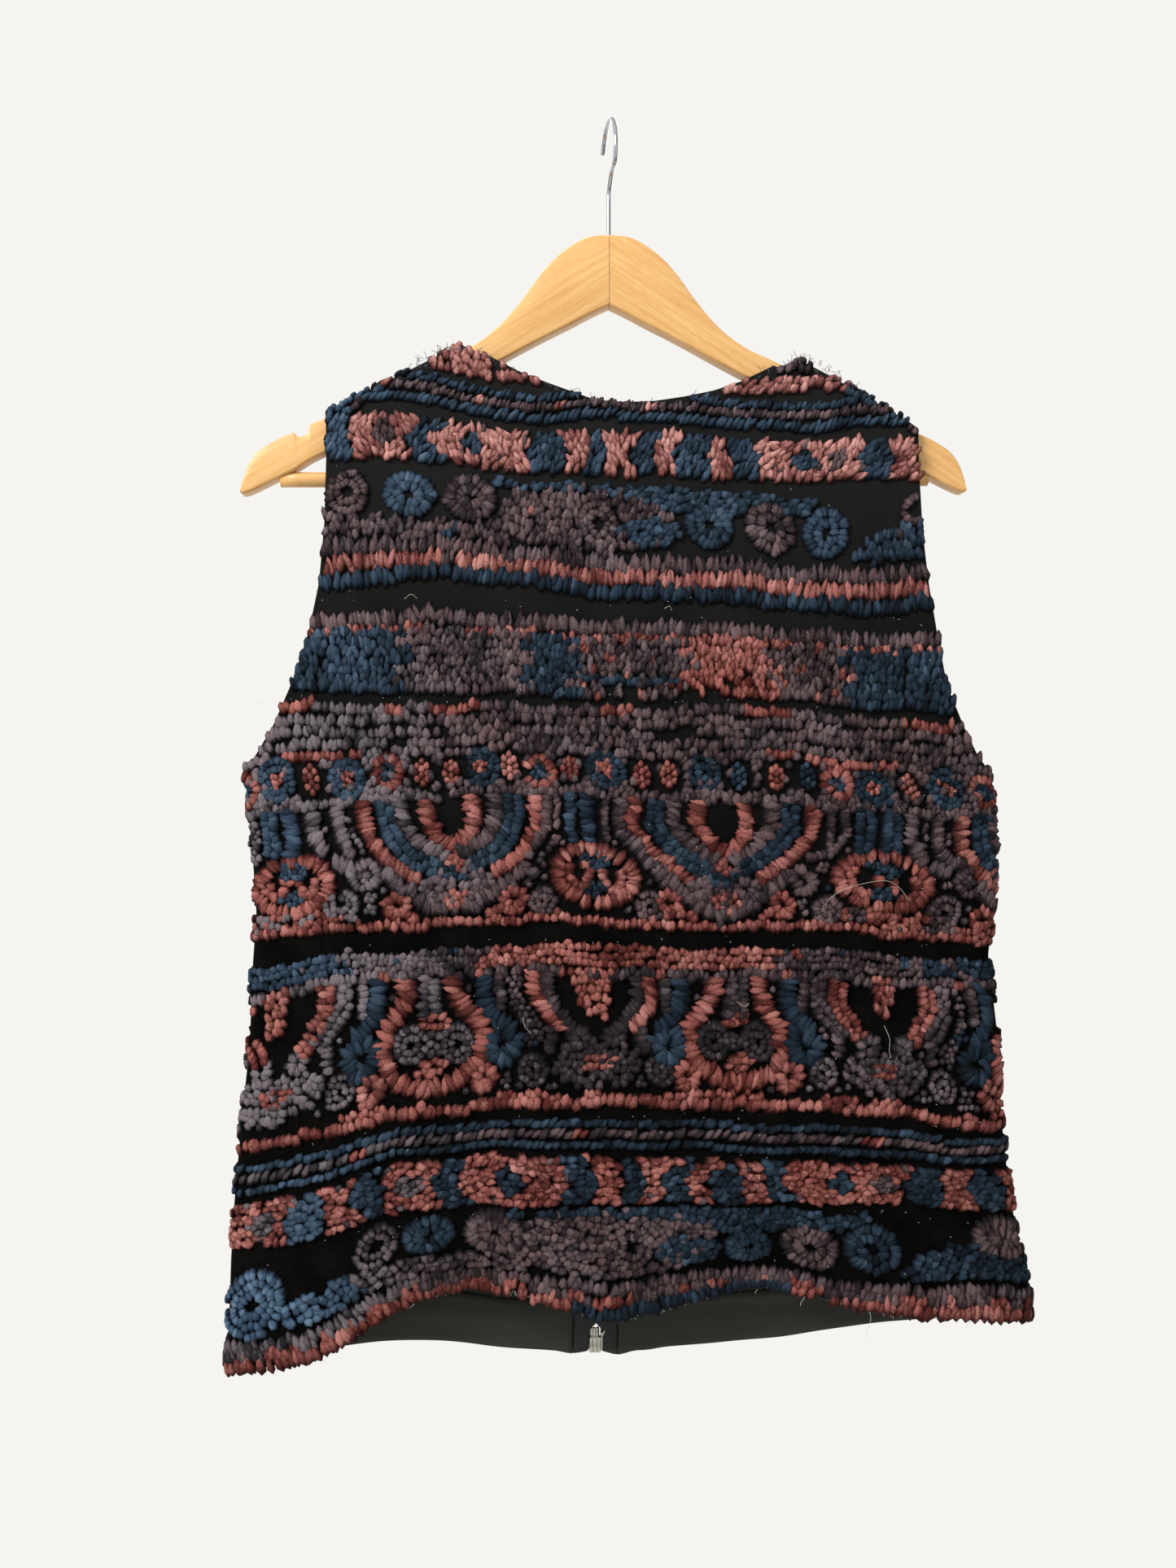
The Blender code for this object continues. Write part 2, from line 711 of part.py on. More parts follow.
def draw_pile_edges(drawing, front, u_low, u_high, step, coarse):
    count = max(int(round((u_high - u_low) / step)), 2)
    across = np.linspace(u_low - 4, u_high + 4, count + 1)
    for low, high in PILE_BANDS:
        for edge, way in ((low, 1), (high, -1)):
            if 0 < edge < BEYOND_TOP:
                for inset in (0.0, RAMP):
                    rows = lookup_rows(across, edge + way * inset, front)
                    drawing.line(np.stack([across, rows], axis=-1))
    for outline in shape_outlines(coarse):
        if outline[:, 0].max() < u_low or outline[:, 0].min() > u_high:
            continue
        z = lookup_rows(outline[:, 0], outline[:, 1], front)
        drawing.line(np.stack([outline[:, 0], z], axis=-1), closed=True)


def build_panel(name, outline, guides, front, step, coarse, finish):
    """A fleece panel: outline and guide lines in u and z, pile standing outside a plain wall."""
    drawing = Drawing()
    drawing.line(outline, closed=True)
    for guide in guides:
        drawing.line(guide)
    draw_pile_edges(drawing, front, outline[:, 0].min(), outline[:, 0].max(), step, coarse)
    flat, faces = drawing.triangles(outline)
    loop = border(faces)
    rise = WALL + pile_height(flat[:, 0], row_at(flat[:, 0], flat[:, 1], front))
    outer = laid(flat[:, 0], flat[:, 1], rise, front)

    lining = Drawing()
    ring = flat[loop]
    lining.line(ring, closed=True)
    for guide in guides:
        kept = guide[inside(guide, outline)]
        lining.dots(kept)
    lining.dots(grid_inside(outline, *LINING_GRID))
    inner_flat, inner_faces = lining.triangles(ring)
    places = {tuple(np.round(p, 5)): i for i, p in enumerate(inner_flat)}
    inner_loop = [places[tuple(np.round(p, 5))] for p in ring]
    inner = laid(inner_flat[:, 0], inner_flat[:, 1], np.zeros(len(inner_flat)), front)

    points, shell = join_skins(outer, faces, loop, inner, inner_faces, inner_loop)
    if front:
        shell = [face[::-1] for face in shell]
    return add_object(name, points, shell, finish, 40)


def u_of_x(x, z):
    """u at which the surface has this x."""
    middle, half = middle_and_half(z)
    share = np.clip(np.abs(x - middle) / half, 0, 1)
    return np.sign(x - middle) * HALF_U * np.interp(share, SECTION_X, SECTION_T)


def side_line(side, low, high, count):
    """Up the side seam and the armhole's edge, from low to high."""
    armhole = np.linspace(UNDERARM, high - 2 * ROUND_TOP, count)[1:]
    turn = high - np.array(TURN_STEPS[::-1])
    z = np.concatenate([np.linspace(low, UNDERARM, count), armhole, turn, [high]])
    return np.stack([edge_u(z, side), z], axis=-1)


def shoulder_points(side, inner_x, count, lower=0.0):
    """Along the shoulder seam from the neck point out to the shoulder's end."""
    outer_x = lookup(-182.0, SILHOUETTE, 1 if side < 0 else 2)
    x = np.linspace(inner_x, outer_x, count)
    z = shoulder_line(x) - lower
    return np.stack([u_of_x(x, z), z], axis=-1)


def shoulder_guides(side, inner_x):
    return [shoulder_points(side, inner_x, 10, lower)[1:-1] for lower in TURN_STEPS]


def side_guides(side, low):
    """Lines just inside the seam, where the cloth turns the corner."""
    guides = []
    for inset in SIDE_STEPS:
        z = np.linspace(low, UNDERARM - inset * SIDE_SLOPE, 12)
        guides.append(np.stack([np.full(12, side * (HALF_U - inset)), z], axis=-1))
    return guides


def neck_height(x):
    """The back neckline, kept below the shoulder seams at its two ends."""
    fall = np.minimum(x - NECK_LEFT, NECK_RIGHT - x)
    ends = shoulder_line(np.where(x < 0, NECK_LEFT, NECK_RIGHT)) - NECK_FALL * fall
    ends = ends + np.maximum(fall - NECK_END, 0) * NECK_FREE
    return np.minimum(lookup(x, NECKLINE), ends)


def back_outline():
    hem_u = np.linspace(-HALF_U, HALF_U, 25)
    hem = np.stack([hem_u, lookup_rows(hem_u, 0.0, False)], axis=-1)
    turns = np.array([1.2, 3.5, 7.0, 12.0])
    neck_x = np.concatenate([NECK_LEFT + turns, column(NECKLINE, 0)[1:-1], NECK_RIGHT - turns[::-1]])
    neck_z = neck_height(neck_x)
    neck = np.stack([u_of_x(neck_x, neck_z), neck_z], axis=-1)
    left = shoulder_points(-1, NECK_LEFT, 10)
    right = shoulder_points(1, NECK_RIGHT, 10)
    up_right = side_line(1, hem[-1, 1], right[-1, 1], 12)[1:-1]
    down_left = side_line(-1, hem[0, 1], left[-1, 1], 12)[::-1][1:-1]
    return np.concatenate([hem, up_right, right[::-1], neck[::-1], left, down_left])


def zip_x(z):
    share = (VEE_BOTTOM - z) / (VEE_BOTTOM - HEM_LEVEL)
    return VEE_X + (ZIP_FOOT_X - VEE_X) * share


def front_outline(side):
    """side is -1 for the front at -X. The neck edge bows a little towards the middle."""
    foot_z = lookup_rows(u_of_x(ZIP_FOOT_X, HEM_LEVEL), 0.0, True)[0]
    foot_u = u_of_x(zip_x(foot_z) + side * ZIP_HALF, foot_z)
    hem_u = np.linspace(side * HALF_U, foot_u, 15)
    hem = np.stack([hem_u, lookup_rows(hem_u, 0.0, True)], axis=-1)
    zip_z = np.linspace(hem[-1, 1], VEE_BOTTOM, 14)
    zip_edge = np.stack([u_of_x(zip_x(zip_z) + side * ZIP_HALF, zip_z), zip_z], axis=-1)
    neck_x = NECK_LEFT if side < 0 else NECK_RIGHT
    seam = shoulder_points(side, neck_x, 10)
    t = np.concatenate([np.linspace(0, 0.94, 9), [0.967, 0.985, 0.995, 1.0]])
    start_x = zip_x(VEE_BOTTOM) + side * ZIP_HALF
    vee_x = start_x + (neck_x - start_x) * t + side * 5 * np.sin(math.pi * t)
    vee_z = VEE_BOTTOM + (seam[0, 1] - VEE_BOTTOM) * t
    vee = np.stack([u_of_x(vee_x, vee_z), vee_z], axis=-1)
    down = side_line(side, hem[0, 1], seam[-1, 1], 12)[::-1]
    loop = np.concatenate([hem, zip_edge[1:], vee[1:-1], seam, down[1:-1]])
    return loop if side < 0 else loop[::-1]


def between_skins(name, first, second, finish, smooth_angle=40):
    """A closed body between two grids of points, as for a strip of cloth or tape."""
    rows, columns = first.shape[:2]
    shift = rows * columns
    index = np.arange(shift).reshape(rows, columns)
    quads = []
    for a, b, c, d in zip(
        index[:-1, :-1].ravel(), index[:-1, 1:].ravel(), index[1:, 1:].ravel(), index[1:, :-1].ravel()
    ):
        quads.append((a, b, c, d))
        quads.append((d + shift, c + shift, b + shift, a + shift))
    round_it = np.concatenate(
        [index[0, :-1], index[:-1, -1], index[-1, :0:-1], index[:0:-1, 0]]
    )
    for a, b in zip(round_it, np.roll(round_it, -1)):
        quads.append((b, a, a + shift, b + shift))
    points = np.concatenate([first.reshape(-1, 3), second.reshape(-1, 3)])
    thing = add_object(name, points, quads, finish, smooth_angle)
    face_out(thing)
    return thing


def face_out(thing):
    shape = bmesh.new()
    shape.from_mesh(thing.data)
    bmesh.ops.recalc_face_normals(shape, faces=shape.faces)
    shape.to_mesh(thing.data)
    shape.free()


def strip(name, u, low, high, rises, front, finish):
    """Cloth or tape laid inside a panel between two heights, rises millimetres out of its inside."""
    flat_u = np.stack([u] * 3)
    flat_z = np.stack([low, (low + high) / 2, high])
    skins = []
    for rise in rises:
        laid_flat = laid(flat_u.ravel(), flat_z.ravel(), np.full(flat_u.size, rise), front)
        skins.append(laid_flat.reshape(flat_u.shape + (3,)))
    return between_skins(name, skins[0], skins[1], finish)


def build_panels(finish):
    back = back_outline()
    guides = side_guides(-1, -752.0) + side_guides(1, -730.0)
    guides += shoulder_guides(-1, NECK_LEFT) + shoulder_guides(1, NECK_RIGHT)
    build_panel("back_panel", back, guides, False, BACK_STEP, False, finish)
    for side, name in ((-1, "front_left"), (1, "front_right")):
        low = -750.0 if side < 0 else -730.0
        neck_x = NECK_LEFT if side < 0 else NECK_RIGHT
        guides = side_guides(side, low) + shoulder_guides(side, neck_x)
        build_panel(name, front_outline(side), guides, True, FRONT_STEP, True, finish)


def build_facings(finish):
    neck_u = np.linspace(-84, 84, 19)
    middle, half = middle_and_half(-165.0)
    neck_top = lookup(middle + half * neck_u / HALF_U, NECKLINE) - 0.8
    strip("back_neck_facing", neck_u, neck_top - FACING_DEEP, neck_top, FACING_RISES, False, finish)
    for side, name in ((-1, "front_hem_facing_left"), (1, "front_hem_facing_right")):
        foot_u = u_of_x(ZIP_FOOT_X + side * (ZIP_HALF + TAPE_REACH + 1.0), HEM_LEVEL)
        u = np.linspace(foot_u, side * (HALF_U - SIDE_CLEAR), 15)
        hem = lookup_rows(u, 0.0, True) + 0.6
        strip(name, u, hem, hem + HEM_FACING_DEEP, FACING_RISES, True, finish)


def tilted(points):
    """Raises points of the hanger's own frame along its slope, as it hangs."""
    rise = points[..., 0] * HANGER_TILT
    return np.stack([points[..., 0], points[..., 1], points[..., 2] + rise], axis=-1)


def arm_ring(high, low):
    """A section of an arm: flat faces, well rounded edges. y and z, going round once."""
    radius = min(4.2, (high - low) / 2 - 0.3)
    points = []
    for y, z, quarter in (
        (ARM_THICK / 2 - radius, high - radius, 0),
        (-ARM_THICK / 2 + radius, high - radius, 1),
        (-ARM_THICK / 2 + radius, low + radius, 2),
        (ARM_THICK / 2 - radius, low + radius, 3),
    ):
        for turn in np.linspace(quarter, quarter + 1, 3) * math.pi / 2:
            points.append((y + radius * math.cos(turn), z + radius * math.sin(turn)))
    return np.array(points)


def build_arm(name, side, finish):
    rings = []
    for out, high, low in ARM_SECTIONS:
        ring = arm_ring(high, low)
        x = np.full(len(ring), side * out)
        rings.append(tilted(np.stack([x, ring[:, 0], ring[:, 1]], axis=-1)))
    points = np.concatenate(rings)
    count = len(rings[0])
    faces = []
    for i in range(len(rings) - 1):
        for j in range(count):
            a, b = i * count + j, i * count + (j + 1) % count
            faces.append((a, b, b + count, a + count))
    faces.append(tuple(range(count)))
    faces.append(tuple(range((len(rings) - 1) * count, len(rings) * count))[::-1])
    arm = add_object(name, points, faces, finish, 35)
    face_out(arm)
    return arm


def cylinder(name, radius, start, end, sides=20):
    """A helper or a rod between two points, in millimetres."""
    start, end = Vector(start) * MM, Vector(end) * MM
    shape = bmesh.new()
    bmesh.ops.create_cone(
        shape, cap_ends=True, segments=sides, radius1=radius * MM, radius2=radius * MM,
        depth=(end - start).length,
    )
    mesh = bpy.data.meshes.new(name)
    shape.to_mesh(mesh)
    shape.free()
    thing = bpy.data.objects.new(name, mesh)
    bpy.context.scene.collection.objects.link(thing)
    thing.location = (start + end) / 2
    thing.rotation_mode = "QUATERNION"
    thing.rotation_quaternion = (end - start).to_track_quat("Z", "Y")
    return thing


def cut(thing, cutter):
    cutter.hide_render = True
    cutter.display_type = "WIRE"
    cutting = thing.modifiers.new("cut", "BOOLEAN")
    cutting.operation = "DIFFERENCE"
    cutting.object = cutter


def hook_route():
    """Up the stem, out to the back of the loop, over its top and down to the tip. Loop in y and z."""
    loop = 21.5
    top = WIRE
    centre = top - loop
    stem = [(0.0, z) for z in (-90.0, -80.0, -70.0, -60.0, -52.0, -46.0)]
    neck = [(0.6, -41.5), (3.6, -37.6), (9.0, -33.4)]
    angles = np.radians(np.arange(-28, 160, 13))
    arc = [(loop * math.cos(a) * 0.92, centre + loop * math.sin(a)) for a in angles]
    return stem + neck + arc


def build_hook(finish):
    """Bent wire whose plane stands almost square to the hanger, so that it shows edge on."""
    route = hook_route()
    curve = bpy.data.curves.new("hanger_hook", "CURVE")
    curve.dimensions = "3D"
    spline = curve.splines.new("POLY")
    spline.points.add(len(route) - 1)
    for point, (out, z) in zip(spline.points, route):
        x = out * math.cos(HOOK_TURN)
        y = -out * math.sin(HOOK_TURN)
        point.co = (x * MM, y * MM, z * MM, 1)
    curve.bevel_depth = WIRE * MM
    curve.bevel_resolution = 2
    curve.use_fill_caps = True
    curve.materials.append(finish)
    thing = bpy.data.objects.new("hanger_hook", curve)
    bpy.context.scene.collection.objects.link(thing)


def build_hanger(wood, metal):
    bore = cylinder("hook_bore", WIRE + GAP, (0, 0, -91), (0, 0, -60))
    for side, name in ((-1, "hanger_arm_left"), (1, "hanger_arm_right")):
        arm = build_arm(name, side, wood)
        end = side * (BAR_REACH + 1.0)
        start = side * (BAR_REACH - 40.0)
        socket = cylinder(
            "socket" + name[-5:], BAR_RADIUS + GAP,
            (start, 0, BAR_Z + start * HANGER_TILT), (end, 0, BAR_Z + end * HANGER_TILT),
        )
        cut(arm, bore)
        cut(arm, socket)
    reach = BAR_REACH - GAP
    rise = reach * HANGER_TILT
    bar = cylinder("hanger_bar", BAR_RADIUS, (-reach, 0, BAR_Z - rise), (reach, 0, BAR_Z + rise), 16)
    bar.data.materials.append(wood)
    build_hook(metal)


def block(name, middle, size, finish, bevel=0.5):
    shape = bmesh.new()
    bmesh.ops.create_cube(shape, size=1.0)
    for vertex in shape.verts:
        vertex.co = Vector(
            (vertex.co.x * size[0] * MM, vertex.co.y * size[1] * MM, vertex.co.z * size[2] * MM)
        )
    mesh = bpy.data.meshes.new(name)
    shape.to_mesh(mesh)
    shape.free()
    mesh.materials.append(finish)
    thing = bpy.data.objects.new(name, mesh)
    bpy.context.scene.collection.objects.link(thing)
    thing.location = Vector(middle) * MM
    if bevel:
        edge = thing.modifiers.new("edges", "BEVEL")
        edge.width = bevel * MM
        edge.segments = 2
    return thing


def along_zip(offset, z):
    """u on the front's form at a sideways offset in millimetres from the zip's line."""
    return u_of_x(zip_x(z) + offset, z)


def zip_foot():
    return lookup_rows(u_of_x(ZIP_FOOT_X, HEM_LEVEL), 0.0, True)[0]


def zip_strip(name, side, near, far, low, high, rises, finish, across=3):
    """A tape or a row of teeth that runs up the zip's line on one side of it."""
    z = np.linspace(low, high, 15)
    offsets = side * np.linspace(near, far, across)
    flat_z = np.repeat(z[:, None], across, axis=1)
    flat_u = along_zip(offsets[None, :], flat_z)
    skins = []
    for rise in rises:
        points = laid(flat_u.ravel(), flat_z.ravel(), np.full(flat_u.size, rise), True)
        skins.append(points.reshape(flat_u.shape + (3,)))
    between_skins(name, skins[0], skins[1], finish)


def at_zip(z, rise, offset=0.0):
    """A place on the zip, rise millimetres out of the fronts' inside."""
    return laid(along_zip(offset, np.array([z])), np.array([z]), np.array([rise]), True)[0]


def unite(thing, others):
    for other in others:
        other.hide_render = True
        other.display_type = "WIRE"
        union = thing.modifiers.new("join", "BOOLEAN")
        union.operation = "UNION"
        union.object = other


def build_pull(hinge, finish):
    """A flat tab that hangs plumb from the slider's pin: a round eye, a neck and a wider end."""
    hole, neck = PULL_PIN + GAP, 1.2
    width, thick, length = PULL_SIZE
    outline = [
        (neck, 0.5),
        (neck, -3.4),
        (width / 2, -7.0),
        (width / 2, -length + 1.6),
        (width / 2 - 1.4, -length + 0.4),
        (0.0, -length),
    ]
    side = [(-x, z) for x, z in outline[-2::-1]]
    profile = outline + side
    points = []
    for y in (-thick / 2, thick / 2):
        points += [(x, y, z) for x, z in profile]
    count = len(profile)
    faces = [tuple(range(count)), tuple(range(count, 2 * count))[::-1]]
    for i in range(count):
        j = (i + 1) % count
        faces.append((i, i + count, j + count, j))
    tab = add_object("zip_pull_tab", points, faces, finish)
    face_out(tab)
    ring = cylinder("pull_eye", PULL_EYE, (-neck, 0, 0), (neck, 0, 0), 20)
    bore = cylinder("pull_bore", hole, (-3, 0, 0), (3, 0, 0), 20)
    for piece in (tab, ring, bore):
        piece.location = Vector(piece.location) + Vector(hinge) * MM
    unite(tab, [ring])
    cut(tab, bore)


def build_slider(z, finish):
    """Body, two ears and the pin across them that carries the pull tab."""
    x, y, _ = at_zip(z, 0.0)
    deep = SLIDER_SIZE[1]
    face = y + METAL_RISE + deep
    body = block("zip_slider", (x, face - deep / 2, z), SLIDER_SIZE, finish, 0.9)
    hinge = (x, face + GAP + PULL_EYE, z + EAR_UP)
    ears = []
    for side in (-1, 1):
        middle = (x + side * EAR_SIDE, face + EAR_OUT, z + EAR_UP)
        ears.append(block("ear" + str(side), middle, EAR_SIZE, finish, 0))
    left, right = ((x + side * (EAR_SIDE + 0.3), hinge[1], hinge[2]) for side in (-1, 1))
    pin = cylinder("pull_pin", PULL_PIN, left, right, 12)
    unite(body, ears + [pin])
    build_pull(hinge, finish)


def build_zip(tape, metal):
    foot = zip_foot()
    box_top = foot + BOX_SIZE[2]
    slider_z = VEE_BOTTOM - STOP_DROP - STOP_SIZE[2] - GAP - SLIDER_SIZE[2] / 2
    teeth_top = slider_z - SLIDER_SIZE[2] / 2 - GAP
    for side, name in ((-1, "left"), (1, "right")):
        far = ZIP_HALF + TAPE_REACH
        zip_strip("zip_tape_" + name, side, 0.5, far, box_top + GAP, VEE_BOTTOM, TAPE_RISES, tape)
        zip_strip(
            "zip_teeth_" + name, side, GAP / 2, GAP / 2 + TEETH_WIDTH,
            box_top + TEETH_START, teeth_top, TEETH_RISES, metal, 2,
        )
        stop_z = VEE_BOTTOM - STOP_DROP - STOP_SIZE[2] / 2
        stop_at = at_zip(stop_z, METAL_RISE + STOP_SIZE[1] / 2, side * STOP_SIDE)
        block("zip_stop_" + name, stop_at, STOP_SIZE, metal)
    build_slider(slider_z, metal)
    box_z = foot + BOX_SIZE[2] / 2
    x, y, _ = at_zip(box_z, BOX_MIDDLE_RISE)
    box = block("zip_box", (x, y, box_z), BOX_SIZE, metal, 0.6)
    collar_at = (x - ROW_SIDE, y, box_top + COLLAR_SIZE[2] / 2 - 0.2)
    unite(box, [block("box_collar", collar_at, COLLAR_SIZE, metal, 0)])
    seat = (x + ROW_SIDE, y, foot + PIN_SEAT)
    cut(box, cylinder("pin_bore", PIN_RADIUS + GAP, seat, (seat[0], y, box_top + 1), 12))
    pin_foot = (seat[0], y, seat[2] + GAP)
    pin = cylinder("zip_pin", PIN_RADIUS, pin_foot, (seat[0], y, box_top + COLLAR_SIZE[2]), 12)
    pin.data.materials.append(metal)


def main():
    clear_scene()
    fleece = material("fleece", 0.95, 0.0)
    black = material("black_cloth", 0.8, 0.0)
    tape = material("tape", 0.7, 0.0)
    nickel = material("nickel", 0.3, 1.0)
    wood = material("beech", 0.3, 0.0)
    chrome = material("chrome", 0.15, 1.0)
    build_panels(fleece)
    build_facings(black)
    build_zip(tape, nickel)
    build_hanger(wood, chrome)


main()
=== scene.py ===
"""A fleece vest with sculpted pile, hung with its back to the viewer on a varnished wooden hanger.

Metres, +Z up, origin inside the top of the hook. The back faces -Y and the zip faces +Y. The tables
below are in millimetres and are turned to metres where a mesh is made. A place on the cloth is given
by u, across from the garment's middle, and v, the cloth's row, up from the hem along the cloth.

The walls are thin shells on the form that the CAD panels have. The pile is laid tuft by tuft, as the
real cloth's is: every tuft is one closed pebble of one yarn, and the bands, rings, scrolls and seeds
are strokes, rows and fills of tufts.
"""

import math

import bpy
import numpy as np
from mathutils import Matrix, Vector

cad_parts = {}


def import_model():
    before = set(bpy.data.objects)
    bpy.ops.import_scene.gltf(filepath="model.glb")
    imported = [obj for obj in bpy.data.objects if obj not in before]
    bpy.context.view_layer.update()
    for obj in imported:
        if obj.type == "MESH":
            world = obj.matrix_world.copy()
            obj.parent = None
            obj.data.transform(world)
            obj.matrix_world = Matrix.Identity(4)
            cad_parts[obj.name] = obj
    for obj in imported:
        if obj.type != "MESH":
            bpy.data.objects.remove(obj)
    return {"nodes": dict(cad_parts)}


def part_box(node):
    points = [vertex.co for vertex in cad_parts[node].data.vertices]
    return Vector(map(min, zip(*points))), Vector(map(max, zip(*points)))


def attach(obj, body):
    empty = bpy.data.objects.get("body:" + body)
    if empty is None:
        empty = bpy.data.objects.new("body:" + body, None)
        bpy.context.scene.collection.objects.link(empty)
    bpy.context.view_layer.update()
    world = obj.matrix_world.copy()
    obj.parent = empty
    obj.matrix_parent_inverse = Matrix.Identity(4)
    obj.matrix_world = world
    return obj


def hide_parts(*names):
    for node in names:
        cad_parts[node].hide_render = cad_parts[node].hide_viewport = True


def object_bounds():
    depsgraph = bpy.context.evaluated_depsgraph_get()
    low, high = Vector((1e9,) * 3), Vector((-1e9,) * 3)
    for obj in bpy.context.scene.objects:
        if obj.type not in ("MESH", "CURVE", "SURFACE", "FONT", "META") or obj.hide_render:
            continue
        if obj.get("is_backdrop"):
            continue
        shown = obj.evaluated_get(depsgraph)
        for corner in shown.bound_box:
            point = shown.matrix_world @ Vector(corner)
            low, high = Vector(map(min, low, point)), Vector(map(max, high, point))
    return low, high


MM = 0.001
BODY = "vest_on_hanger"
GAP = 0.3  # between neighbouring pieces
WALL = 2.0  # ground cloth, out to where the pile stands on it
PILE = 2.8  # pile above the ground
HALF_U = 235.0  # u runs from -HALF_U to HALF_U round the back or the front, seam to seam
ROUND_TOP = 5.0  # how far below the shoulder seam the cloth has rounded over the hanger
SECTION_X_POWER = 2.2
SECTION_Y_POWER = 2.4
SECTION_DEPTH = 22.0  # typical half depth, for measuring along the section
SEAM_RISE = 0.6  # how far the pile's edge shows above the cloth at the shoulder seam
SHOULDER_SPREAD = 32.0  # the form is this much wider than the armholes above the underarm
SHOULDER_EASE = 60.0  # height over which it widens
CLEARANCE_EASE = 110.0  # height over which the cloth closes on the hanger's arms

# The garment's silhouette: height, left edge, right edge. Above the underarm it is the armholes
SILHOUETTE = (
    (-120, -171, 189), (-210, -170, 190), (-250, -171, 192), (-285, -174, 196), (-315, -180, 201),
    (-345, -190, 207), (-370, -201, 218), (-388, -212, 228), (-400, -220, 238), (-412, -221, 243),
    (-452, -218, 244), (-483, -216, 243), (-512, -218, 240), (-562, -220, 246), (-610, -225, 248),
    (-656, -229, 253), (-690, -231, 259), (-722, -232, 266), (-770, -235, 268),
)
UNDERARM = -410.0
# Half the garment's inner depth: height, at the back, at the front
DEPTHS = (
    (-110, 9.5, 9.5),
    (-200, 11.0, 12.0),
    (-300, 15.0, 17.0),
    (-410, 18.0, 20.0),
    (-520, 20.0, 22.0),
    (-650, 22.5, 23.0),
    (-770, 23.0, 22.0),
)
ARM_SEAT = 0.8  # from the arm to the shoulder seam
ARM_CLEARANCE = 6.8  # inner half depth where the cloth lies on the hanger's arms
# Top edge of a hanger arm: distance out from the middle, height
ARM_TOP = (
    (0, -72), (27, -79), (41, -93), (53, -110), (65, -124), (81, -137),
    (100, -145.5), (135, -163.2), (172, -183), (198, -197), (207, -201), (214, -208),
    (219, -216), (222, -226),
)
HANGER_TILT = 0.0157  # rise of the hanger towards +X, as a slope
# Shoulder seam as it shows: x, height of the cloth's top
SHOULDERS = (
    (-180, -180), (-162, -172), (-144, -163), (-125, -153), (-104, -142), (-88, -134),
    (0, -90), (112, -138), (129, -146), (146, -155), (173, -170), (195, -183),
)
# Back neckline: x, height
NECKLINE = (
    (-91, -139), (-70, -149), (-54, -157), (-38, -163), (-9, -173), (9, -174),
    (27, -173), (45, -170), (63, -166), (80, -160), (100, -150), (116, -142),
)
NECK_LEFT, NECK_RIGHT = -91.0, 116.0
NECK_END = 14.0  # length of neckline that falls away from each shoulder seam
NECK_FALL = 0.45  # its slope there
NECK_FREE = 10.0  # how steeply that limit then leaves the neckline
VEE_BOTTOM = -292.0  # where the front neckline meets the zip
VEE_BOW = 5.0
VEE_X, ZIP_FOOT_X = 6.0, -7.0  # the zip's line leans a little
ZIP_HALF = 4.6  # from the zip's middle to each front's edge
HEM_ROLL = 9.0  # how far the back hem rolls in at its two arches
HEM_ROLL_HEIGHT = 45.0
HEM_ARCHES = ((-93, 42), (73, 42))  # middle u and width of each arch
HEM_LEVEL = -760.0  # about where the hem hangs, for measuring across it
# Soft hollows and swells that run down the cloth: u, width, depth outwards, top, bottom
FOLDS = (
    (-150, 46, 2.6, -380, -760),
    (-88, 40, -3.4, -470, -760),
    (-18, 50, 3.0, -430, -760),
    (78, 44, -3.6, -450, -760),
    (150, 48, 2.8, -400, -760),
    (-60, 38, 1.6, -190, -330),
    (40, 46, -1.8, -210, -360),
)
FOLD_START, FOLD_STOP, FOLD_TAIL = 90.0, 80.0, 60.0  # heights over which a fold comes and goes
# Smaller creases of the back: middle u and height, half length, half width, turn in degrees from
# level, depth outwards
CREASES = (
    (-168, -246, 44, 9, 62, -1.1),
    (-150, -262, 52, 11, 70, 0.9),
    (172, -236, 50, 10, 112, -1.2),
    (150, -266, 38, 9, 104, 0.8),
    (-196, -455, 46, 10, 28, -1.3),
    (-176, -486, 34, 8, 20, 0.9),
    (200, -448, 40, 9, 154, -1.2),
    (182, -470, 52, 11, 163, 1.0),
    (-60, -420, 70, 12, 6, 0.8),
    (36, -392, 58, 10, 172, -0.8),
    (104, -560, 64, 11, 12, 0.9),
    (-120, -574, 48, 9, 168, -1.0),
    (-30, -640, 66, 10, 4, 0.9),
    (146, -668, 44, 9, 24, -1.2),
    (-176, -676, 52, 10, 152, 1.1),
    (64, -236, 54, 10, 8, -0.8),
    (-46, -228, 46, 9, 170, 0.8),
)

# Where the cloth's rows hang on the back. cloth is the height along the cloth above the hem, and the
# rest are heights at BACK_COLUMNS.
BACK_COLUMNS = (-235, -178, -134, -93, -12, 73, 134, 235)
BACK_ROWS = (
    (0, -757, -742, -714, -707, -721, -709, -723, -737),
    (20, -742, -727, -701, -695, -701, -698, -708, -717),
    (66, -684, -673, -659, -655, -655, -656, -658, -670),
    (95, -656, -644, -630, -625, -627, -630, -635, -643),
    (127, -621, -611, -600, -595, -594, -596, -601, -616),
    (201, -540, -525, -520, -518, -521, -522, -526, -531),
    (221, -516, -508, -504, -502, -501, -504, -506, -515),
    (229, -502, -496, -493, -490, -493, -495, -497, -507),
    (315, -422, -414, -409, -408, -408, -413, -416, -423),
    (370, -356, -349, -351, -352, -353, -353, -357, -364),
    (415, -313, -305, -302, -306, -308, -312, -314, -317),
    (432, -294, -288, -282, -284, -292, -297, -299, -303),
    (453, -267, -261, -261, -266, -271, -274, -277, -275),
    (504, -208, -210, -212, -216, -218, -221, -219, -221),
    (533, -176, -179, -182, -189, -189, -193, -192, -190),
    (640, -69, -72, -75, -82, -82, -86, -85, -83),
)
FRONT_COLUMNS = (-235, -120, -20, 110, 235)
